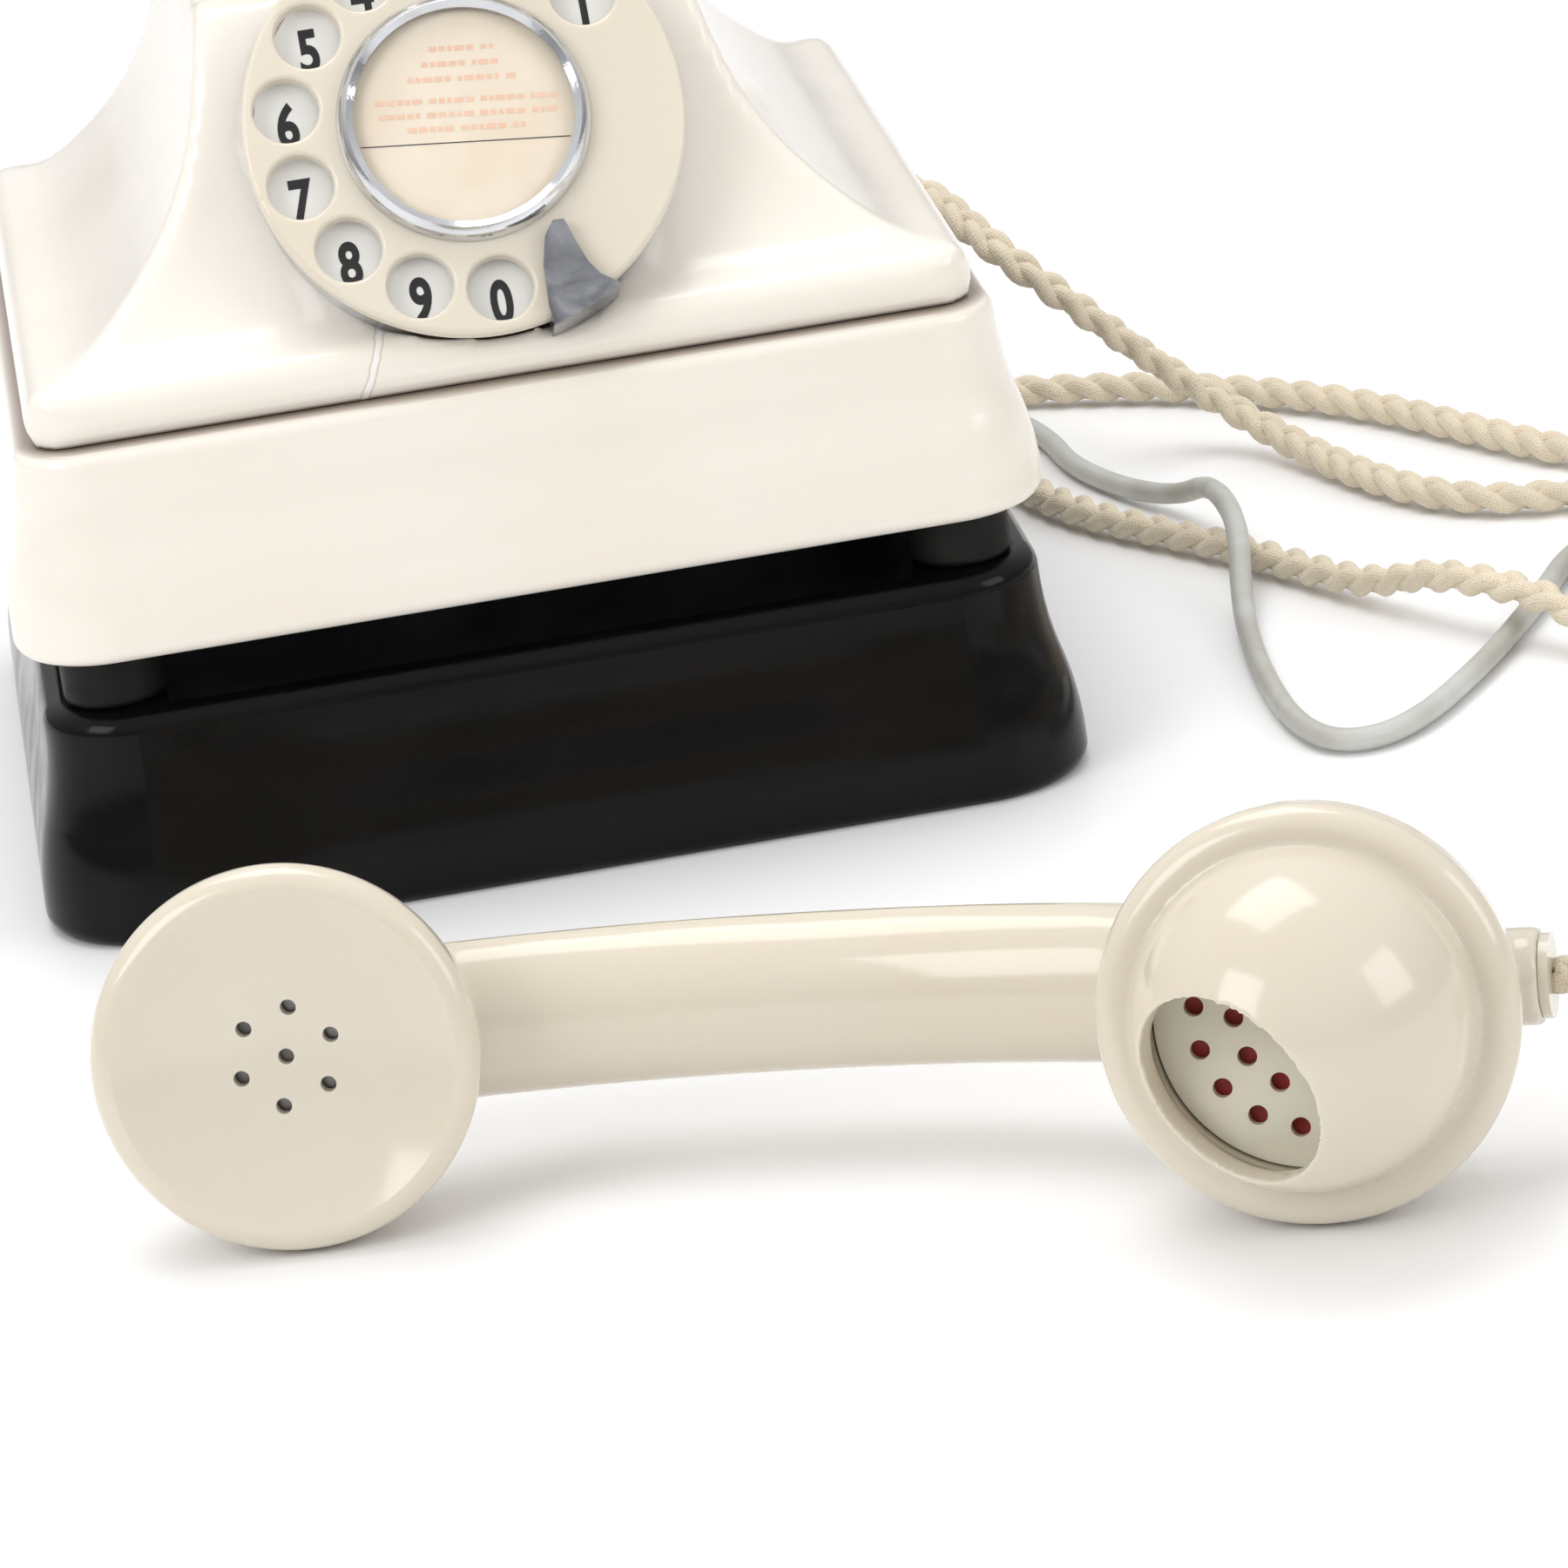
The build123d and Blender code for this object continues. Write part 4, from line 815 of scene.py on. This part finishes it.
@dataclass
class PlaitedCord:
    """Three textile strands plaited together along a route.

    Attributes:
        name: name of the piece.
        route: the line that it follows.
        width: across the plait, in metres.
        lay: length of one whole crossing of a strand, in metres.
        stations: places per lay.
        sides: facets round a strand.
        strand_radius: radius of a strand, in metres.
        strands: number of strands.
        flatness: thickness of the plait against its width.
        end_share: share of its width that the plait starts and ends with.
        end_run: length over which it would grow from nothing to its whole width.
    """

    name: str
    route: Route
    width: float = 0.007
    lay: float = 0.0230
    stations: int = 20
    sides: int = 10
    strand_radius: float = 0.00172
    strands: int = 3
    flatness: float = 0.62
    end_share: float = 0.8
    end_run: float = 0.02

    def _centres(self, follower: Follower, count: int, strand: int) -> list[tuple[Vector, Vector, Vector]]:
        """Find the middle of one strand all along the cord.

        Args:
            follower: the cord's line.
            count: number of steps along it.
            strand: the strand's number.

        Returns:
            Middle, side and upper direction at each place.
        """
        swing = self.width / 2 - self.strand_radius
        phase = 2 * math.pi * strand / self.strands
        centres = []
        for k in range(count + 1):
            distance = follower.length * k / count
            point, _, side, upper = follower.place(distance)
            turn = 2 * math.pi * distance / self.lay + phase
            nearest = min(distance, follower.length - distance)
            tighten = min(1.0, self.end_share + nearest / self.end_run)
            across = swing * math.sin(turn) * tighten
            lift = self.flatness * swing * math.sin(2 * turn) * tighten
            centres.append((point + side * across + upper * lift, side, upper))
        return centres

    def _rings(self, centres: Sequence[tuple[Vector, Vector, Vector]]) -> list[Vector]:
        """Set a ring of points square to a strand at each of its places."""
        found = []
        last = len(centres) - 1
        for k, (centre, side, _) in enumerate(centres):
            ahead = (centres[min(last, k + 1)][0] - centres[max(0, k - 1)][0]).normalized()
            across = (side - ahead * side.dot(ahead)).normalized()
            over = across.cross(ahead)
            for j in range(self.sides):
                turn = 2 * math.pi * j / self.sides
                found.append(centre + (across * math.cos(turn) + over * math.sin(turn)) * self.strand_radius)
        return found

    def build(self, material: Material) -> tuple[Piece, list[Vector], float]:
        """Model the strands.

        Args:
            material: the strands' finish.

        Returns:
            The piece, the points that it follows and its length.
        """
        line = self.route.line()
        follower = Follower(line)
        verts: list[Vector] = []
        faces: list[tuple[int, ...]] = []
        uvs: list[tuple[float, float]] = []
        step = self.lay / self.stations
        count = int(follower.length / step)
        for strand in range(self.strands):
            first = len(verts)
            verts += self._rings(self._centres(follower, count, strand))
            for k in range(count):
                for j in range(self.sides):
                    a = first + k * self.sides + j
                    b = first + k * self.sides + (j + 1) % self.sides
                    faces.append((a, b, b + self.sides, a + self.sides))
                    u0, u1 = k * step, (k + 1) * step
                    v0, v1 = j / self.sides, (j + 1) / self.sides
                    uvs += [(u0, v0), (u0, v1), (u1, v1), (u1, v0)]
            last = first + count * self.sides
            faces.append(tuple(first + j for j in reversed(range(self.sides))))
            faces.append(tuple(last + j for j in range(self.sides)))
            uvs += [(0.0, 0.5)] * self.sides + [(count * step, 0.5)] * self.sides
        mesh = bpy.data.meshes.new(self.name)
        mesh.from_pydata([tuple(v) for v in verts], [], faces)
        layer = mesh.uv_layers.new(name="strand")
        for spot, uv in zip(layer.data, uvs):
            spot.uv = uv
        mesh.validate()
        piece = link(self.name, mesh)
        mend(piece, outward=True)
        bpy.ops.object.shade_smooth()
        dress(piece, material)
        return piece, line, follower.length


@dataclass
class Cordage:
    """The handset's cord, the cord between telephone and bell set, and the line cable.

    Attributes:
        plait_width: across a plaited cord, in metres.
        cable_width: diameter of the line cable.
        handset_route: from the telephone's back, round the coil and into the mouthpiece.
        link_route: from the telephone's back, round its coil and into the bell set.
        cable_route: from the bell set, round its coil and into the plug.
    """

    plait_width: float = 0.007
    cable_width: float = 0.0042
    handset_route: Route = field(default_factory=lambda: Route("handset_line", [
        *millimetres((52, 95, 60), (52, 118, 60), (67, 133, 58), (87, 133, 56), (102, 118, 53),
                     (107, 101, 49), (114, 90, 43), (127, 87, 31), (142, 89, 16), (155, 80, 7), (164, 60),
                     (174, 33), (187, 16), (208, 10), (240, 12), (280, 5), (310, -18), (325, -60),
                     (327, -102), (320, -140), (303, -167), (292, -187), (292, -208)),
        *Coil((252, -234), [(0, 40, 3.5), (-270, 40, 3.5), (-330, 40, 10.5), (-810, 40, 10.5)]).points(),
        *millimetres((252, -274.5, 10.5), (242, -276, 9.5), (231, -277.5, 5.5), (219, -276), (207, -274),
                     (190, -279, 4), (173, -284, 10), (157, -286, 20), (143.2, -285.3, 28.3),
                     (130.3, -280.6, 28.2)),
    ]))
    link_route: Route = field(default_factory=lambda: Route("link_line", [
        *millimetres((14, 95, 60), (14, 114, 60), (23, 133, 45), (40, 146, 22), (62, 150, 7), (90, 146),
                     (118, 134), (148, 120), (178, 92), (199, 54), (211, 34), (230, 29), (254, 33),
                     (274, 32, 5), (284, 18, 13.5), (285, -12, 13.5), (284, -36, 5), (282, -60), (283, -90),
                     (283, -117)),
        *Coil((243, -143), [(0, 40, 3.5), (-270, 40, 3.5), (-330, 40, 10.5), (-540, 40, 10.5)]).points(),
        *millimetres((203, -143, 10.5), (200.5, -131, 9.5), (199.5, -120, 6), (201, -108), (203, -98),
                     (192, -78, 4.5), (181, -62, 10.5), (166, -40, 10.5), (157, -24, 4.5), (148, -6),
                     (136, 17), (117, 44), (107, 70), (106, 95), (101, 115), (86, 129), (64, 129, 5),
                     (50, 114, 9), (50, 97, 9)),
    ]))
    cable_route: Route = field(default_factory=lambda: Route("line_cable", [
        *millimetres((28, 97, 9), (28, 116, 9), (42, 132, 3), (66, 138), (92, 136), (111, 124), (118, 104),
                     (119, 82), (126, 62), (134, 46, 4.5), (138, 30, 11.5), (138, 4, 11.5), (134, -14, 4.5),
                     (131, -34), (129, -60), (129, -84), (134, -99), (147, -97), (166, -72), (184, -42),
                     (198, -14.5), (217, -12.5), lying=2.5),
        *Coil((241, -42), [(90, 30, 2.5), (-210, 30, 2.5), (-270, 25, 2.5), (-600, 25, 2.5), (-660, 25, 7.5),
                           (-960, 25, 7.5), (-1020, 30, 7.5), (-1350, 30, 7.5), (-1410, 30, 12.5),
                           (-1800, 30, 12.5)]).points(),
        *millimetres((271, -42, 12.5), (272.5, -51, 12), (271.5, -59, 7.5), (268.5, -63, 5.5),
                     (268.5, -66.5, 5.5)),
    ]))

    def _declare_plait(self, cord: Piece, length: float) -> None:
        """Log a plaited cord's name and length.

        Args:
            cord: the finished cord.
            length: its length.
        """
        LOG.info("%s, %.3f m", cord.name, length)

    def build(self, textile: Material, sheath: Material) -> None:
        """Lay all three cords.

        Args:
            textile: finish of the plaited cords.
            sheath: finish of the cable.
        """
        plait = PlaitedCord("handset_plaited_cord", self.handset_route, self.plait_width)
        cord, line, length = plait.build(textile)
        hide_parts("handset_cord_a", "handset_cord_b", "handset_cord_coil")
        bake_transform(cord)
        self._declare_plait(cord, length)
        plait = PlaitedCord("bell_plaited_cord", self.link_route, self.plait_width)
        cord, line, length = plait.build(textile)
        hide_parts("link_cord_a", "link_cord_b", "link_cord_coil")
        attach(cord, Body.TELEPHONE.value)
        self._declare_plait(cord, length)
        cable = self.cable_route.curve(self.cable_width)
        length = Follower(self.cable_route.line()).length
        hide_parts("line_cord", "line_cord_coil")
        settle(cable, sheath, Body.TELEPHONE)
        LOG.info("line cable, %.3f m", length)


# ---- Dial ----


@dataclass
class DialFace:
    """Digits under the finger holes and the printed rules of the label card.

    Attributes:
        centre: middle of the finger plate's face, in metres.
        hole_circle: radius of the circle of finger holes.
        first_angle: angle of the hole of digit 1, in degrees from the right.
        pitch: angle from hole to hole.
        plate_level: height of the number plate's face in the dial's frame.
        digit_height: height of a digit.
        digit_drop: how far the digits sit below the middles of the holes.
        condense: width of a digit against its usual width.
        boldness: how far a digit's strokes are thickened.
        capital: height of a digit against the size of its type.
        ink_depth: half thickness of the digits' ink.
        card_level: height of the label card's print in the dial's frame.
        card_turn: how far the card is turned, in degrees.
        divider: middle, height, half length and thickness of the line across the card.
        rows: height up the card and half length of each printed row.
        row_thickness: thickness of a row.
    """

    centre: Point = (0.0, -0.068, 0.131)
    hole_circle: float = 0.0305
    first_angle: float = 38.0
    pitch: float = 26.0
    plate_level: float = -0.0044
    digit_height: float = 0.0074
    digit_drop: float = 0.0016
    condense: float = 0.72
    boldness: float = 0.00034
    capital: float = 0.7
    ink_depth: float = 0.00004
    card_level: float = 0.00056
    card_turn: float = -6.0
    divider: tuple[float, float, float, float] = (0.0, -0.0046, 0.0180, 0.0002)
    rows: Sequence[tuple[float, float]] = ((0.0118, 0.0052), (0.0091, 0.0066), (0.0064, 0.0092),
                                           (0.0026, 0.0150), (0.0001, 0.0146), (-0.0024, 0.0098))
    row_thickness: float = 0.0009

    @property
    def frame(self) -> Matrix:
        """The dial's own frame: x to the right, y up its face, z out of it."""
        return Matrix((
            (1, 0, 0, self.centre[0]),
            (0, 0.5, -0.8660254, self.centre[1]),
            (0, 0.8660254, 0.5, self.centre[2]),
            (0, 0, 0, 1),
        ))

    def digit(self, number: int, index: int, ink: Material) -> Piece:
        """Print one digit on the number plate.

        Args:
            number: the digit.
            index: its place, counted from digit 1.
            ink: its finish.

        Returns:
            The new piece.
        """
        deselect()
        bpy.ops.object.text_add()
        piece = bpy.context.object
        piece.name = f"digit_{number}"
        piece.data.body = str(number)
        piece.data.align_x = "CENTER"
        piece.data.align_y = "CENTER"
        piece.data.size = self.digit_height / self.capital
        piece.data.offset = self.boldness
        piece.data.extrude = self.ink_depth
        piece.data.resolution_u = 6
        bpy.ops.object.convert(target="MESH")
        angle = math.radians(self.first_angle + self.pitch * index)
        xs = [v.co.x for v in piece.data.vertices]
        ys = [v.co.y for v in piece.data.vertices]
        middle = Matrix.Translation((-(min(xs) + max(xs)) / 2, -(min(ys) + max(ys)) / 2, 0))
        spot = Matrix.Translation((self.hole_circle * math.cos(angle),
                                   self.hole_circle * math.sin(angle) - self.digit_drop,
                                   self.plate_level + 0.00005))
        place(piece, self.frame @ spot @ Matrix.Diagonal((self.condense, 1, 1, 1)) @ middle)
        settle(piece, ink, Body.TELEPHONE)
        return piece

    def dashes(self, height: float, half: float) -> list[tuple[float, float, float, float]]:
        """Break one printed row into short dashes of uneven length.

        Args:
            height: the row's height up the card.
            half: half of the row's length.

        Returns:
            Middle, height, half length and thickness of each dash.
        """
        found = []
        start, k = -half, 0
        while start < half:
            size = 0.0007 + 0.0003 * ((k * 7 + int(height * 9000)) % 4)
            found.append((start + size / 2, height, size / 2, self.row_thickness))
            start += size + (0.0012 if k % 5 == 4 else 0.00045)
            k += 1
        return found

    def print_card(self, name: str, dashes: Sequence[tuple[float, float, float, float]],
                   ink: Material) -> None:
        """Print level dashes on the label card.

        Args:
            name: name of the piece.
            dashes: middle, height up the card, half length and thickness of each, in metres.
            ink: their finish.
        """
        deselect()
        verts: list[Point] = []
        faces: list[tuple[int, int, int, int]] = []
        for middle, height, half, thick in dashes:
            first = len(verts)
            left, right, top = middle - half, middle + half, height + thick
            verts += [(x, y, self.card_level)
                      for x, y in ((left, height), (right, height), (right, top), (left, top))]
            faces.append((first, first + 1, first + 2, first + 3))
        mesh = bpy.data.meshes.new(name)
        mesh.from_pydata(verts, [], faces)
        piece = link(name, mesh)
        place(piece, self.frame @ Matrix.Rotation(math.radians(self.card_turn), 4, "Z"))
        settle(piece, ink, Body.DIAL)

    def build(self, ink: Material, red: Material) -> None:
        """Print the plate and the card.

        Args:
            ink: finish of the digits and of the line across the card.
            red: finish of the printed rows.
        """
        for index in range(10):
            self.digit((index + 1) % 10, index, ink)
        LOG.info("ten digits")
        self.print_card("card_divider", [self.divider], ink)
        self.print_card("card_print", [dash for row in self.rows for dash in self.dashes(*row)], red)
        LOG.info("label card")


# ---- Casework and handset ----


@dataclass
class Casework:
    """The telephone's ivory case above its joint.

    Attributes:
        grain: grain of its new skin, in metres.
        rounds: smoothing passes.
    """

    grain: float = 0.0016
    rounds: int = 6

    def build(self, ivory: Material, frame: dict) -> None:
        """Soften the upper case.

        Args:
            ivory: its finish.
            frame: the loaded frame.
        """
        case = SoftCopy("upper_case", self.grain, self.rounds).build(frame, "moulded_upper_case")
        settle(case, ivory, Body.TELEPHONE)
        LOG.info("upper case")


@dataclass
class CradleSpring:
    """Wound spring that lifts the plungers' crossbar.

    Attributes:
        place: x and y of its axis, in metres.
        low: height of its lower end.
        height: its length with the cradle up.
        radius: from its axis to the middle of the wire.
        wire: radius of the wire.
        turns: number of turns.
        facets: facets round the wire.
        steps: steps in a turn.
        pressed: share of its length that is left with the cradle down; not used.
    """

    place: tuple[float, float] = (-0.016, 0.0)
    low: float = 0.138
    height: float = 0.01298
    radius: float = 0.0024
    wire: float = 0.0004
    turns: int = 6
    facets: int = 8
    steps: int = 20
    pressed: float = 0.53

    def build(self, steel: Material) -> None:
        """Wind the spring.

        Args:
            steel: its finish.
        """
        deselect()
        rise = self.height - 2 * self.wire
        bpy.ops.mesh.primitive_circle_add(vertices=self.facets, radius=self.wire,
                                          rotation=(math.pi / 2, 0, 0),
                                          location=(self.radius, 0, self.low + self.wire))
        spring = bpy.context.object
        spring.name = "cradle_spring"
        bpy.ops.object.transform_apply(location=True, rotation=True, scale=True)
        screw = spring.modifiers.new("winding", "SCREW")
        screw.axis = "Z"
        screw.angle = 2 * math.pi
        screw.screw_offset = rise / self.turns
        screw.iterations = self.turns
        screw.steps = screw.render_steps = self.steps
        apply_all(spring)
        mend(spring, weld=True, fill=True, outward=True)
        bpy.ops.object.shade_smooth_by_angle(angle=math.radians(50))
        place(spring, Matrix.Translation((*self.place, 0)))
        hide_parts("plunger_spring")
        settle(spring, steel, Body.TELEPHONE)
        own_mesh(spring)
        LOG.info("cradle spring")


@dataclass
class Handset:
    """Handle and mouthpiece, softened like polished mouldings.

    Attributes:
        mouldings: node, grain of its new skin in metres, and smoothing passes of each.
    """

    mouldings: Sequence[tuple[str, float, int]] = (("handset_handle", 0.0008, 8), ("mouthpiece", 0.00045, 10))

    def build(self, cream: Material, frame: dict) -> None:
        """Soften the mouldings.

        Args:
            cream: their finish.
            frame: the loaded frame.
        """
        for node, grain, rounds in self.mouldings:
            piece = SoftCopy(node, grain, rounds).build(frame, f"moulded_{node}")
            settle(piece, cream, Body.HANDSET)
            LOG.info("%s", node)


# ---- Studio ----


@dataclass(frozen=True)
class Lamp:
    """One soft square light: its place, the point that it faces, its side in metres and its power."""

    name: str
    spot: Point
    aim: Point
    size: float
    watts: float

    def hang(self) -> None:
        """Put the light into the scene."""
        data = bpy.data.lights.new(self.name, "AREA")
        data.shape = "SQUARE"
        data.size = self.size
        data.energy = self.watts
        lamp = link(self.name, data)
        lamp.location = self.spot
        lamp.rotation_euler = (Vector(self.spot) - Vector(self.aim)).to_track_quat("Z", "Y").to_euler()


@dataclass
class Studio:
    """Pale table, soft lights and the camera.

    Attributes:
        eye: the camera's place, in metres.
        azimuth: how far it looks to the right of straight ahead, in degrees.
        depression: how far it looks down.
        roll: how far it leans.
        lens: focal length, in millimetres.
        sensor: width of its sensor, in millimetres.
        table_size: side of the table.
        table_shade: colour of the table.
        air: place on the sky and its colour, from level to high up.
        air_strength: brightness of the air.
        lamps: the lights.
    """

    eye: Point = (-0.07643, -1.2686, 0.44071)
    azimuth: float = 5.5
    depression: float = 20.02
    roll: float = 7.76
    lens: float = 165.4
    sensor: float = 36.0
    table_size: float = 12.0
    table_shade: Colour = (0.93, 0.93, 0.935)
    air: Sequence[tuple[float, Colour]] = ((0.05, (0.42, 0.42, 0.43)), (0.55, (1.0, 1.0, 1.0)))
    air_strength: float = 0.85
    lamps: Sequence[Lamp] = (Lamp("overhead", (-0.1, 0.25, 1.4), (0, 0, 0.05), 0.9, 8),
                             Lamp("left_window", (-1.1, -0.9, 0.9), (0, -0.1, 0.08), 0.8, 7),
                             Lamp("right_fill", (1.2, -0.9, 0.7), (0, -0.1, 0.08), 0.7, 4))

    def camera(self) -> None:
        """Set the camera at its viewing angle."""
        turn, fall, lean = (math.radians(v) for v in (self.azimuth, self.depression, self.roll))
        ahead = Vector((math.sin(turn) * math.cos(fall), math.cos(turn) * math.cos(fall), -math.sin(fall)))
        right = Vector((math.cos(turn), -math.sin(turn), 0))
        upper = right.cross(ahead)
        across = right * math.cos(lean) - upper * math.sin(lean)
        above = right * math.sin(lean) + upper * math.cos(lean)
        data = bpy.data.cameras.new("camera")
        data.lens = self.lens
        data.sensor_width = self.sensor
        data.clip_end = 20
        data.clip_start = 0.01
        camera = link("camera", data)
        camera.matrix_world = Matrix((
            (across.x, above.x, -ahead.x, self.eye[0]),
            (across.y, above.y, -ahead.y, self.eye[1]),
            (across.z, above.z, -ahead.z, self.eye[2]),
            (0, 0, 0, 1),
        ))
        bpy.context.scene.camera = camera

    def table(self) -> None:
        """Lay the table."""
        deselect()
        bpy.ops.mesh.primitive_plane_add(size=self.table_size, location=(0, 0, 0))
        table = bpy.context.object
        table.name = "table"
        material, tree, shader = new_material("table_white")
        feed(tree, shader, {"Base Color": (*self.table_shade, 1), "Roughness": 0.45})
        dress(table, material)

    def sky(self) -> None:
        """Fill the air with soft light, brighter from above."""
        world = bpy.data.worlds.new("air")
        world.use_nodes = True
        tree = world.node_tree
        split = add_node(tree, "SeparateXYZ", {0: add_node(tree, "TexCoord").outputs["Generated"]})
        feed(tree, tree.nodes["Background"], {
            "Color": ramp(tree, split.outputs["Z"], self.air), "Strength": self.air_strength})
        bpy.context.scene.world = world

    def build(self) -> None:
        """Set up the table, the air, the lights and the camera."""
        self.table()
        self.sky()
        for lamp in self.lamps:
            lamp.hang()
        bpy.context.scene.view_settings.view_transform = "Standard"
        self.camera()
        LOG.info("studio")


# ---- The whole set ----


def dress_frame(frame: dict, materials: dict[str, Material]) -> None:
    """Give every part of the frame the finish of its slot.

    Args:
        frame: the loaded frame.
        materials: a material for each slot.
    """
    finish_of = {"number_plate": "enamel", "label_card": "card", "handset_grommet": "ivory_handset"}
    for row in frame["record"]["subparts"]:
        slot = finish_of.get(row["node"], row["material_slot"])
        dress(frame["nodes"][row["node"]], materials[slot])


def main() -> None:
    """Load the frame, build and dress every piece, and set the studio."""
    logging.basicConfig(level=logging.INFO, format="%(message)s")
    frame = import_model()
    deselect()
    groups = ShaderGroups()
    materials = {slot: finish.material(groups) for slot, finish in FINISHES.items()}
    ink = INK.material(groups)
    red = RED_INK.material(groups)
    dress_frame(frame, materials)
    Studio().build()
    Cordage().build(materials["plaited_cord"], materials["line_cable"])
    Casework().build(CRACKED_IVORY.material(groups), frame)
    CradleSpring().build(materials["steel"])
    Handset().build(materials["ivory_handset"], frame)
    DialFace().build(ink, red)
    for node, finish in NODE_FINISHES.items():
        dress(frame["nodes"][node], finish.material(groups))
    deselect()


if __name__ == "__main__":
    main()
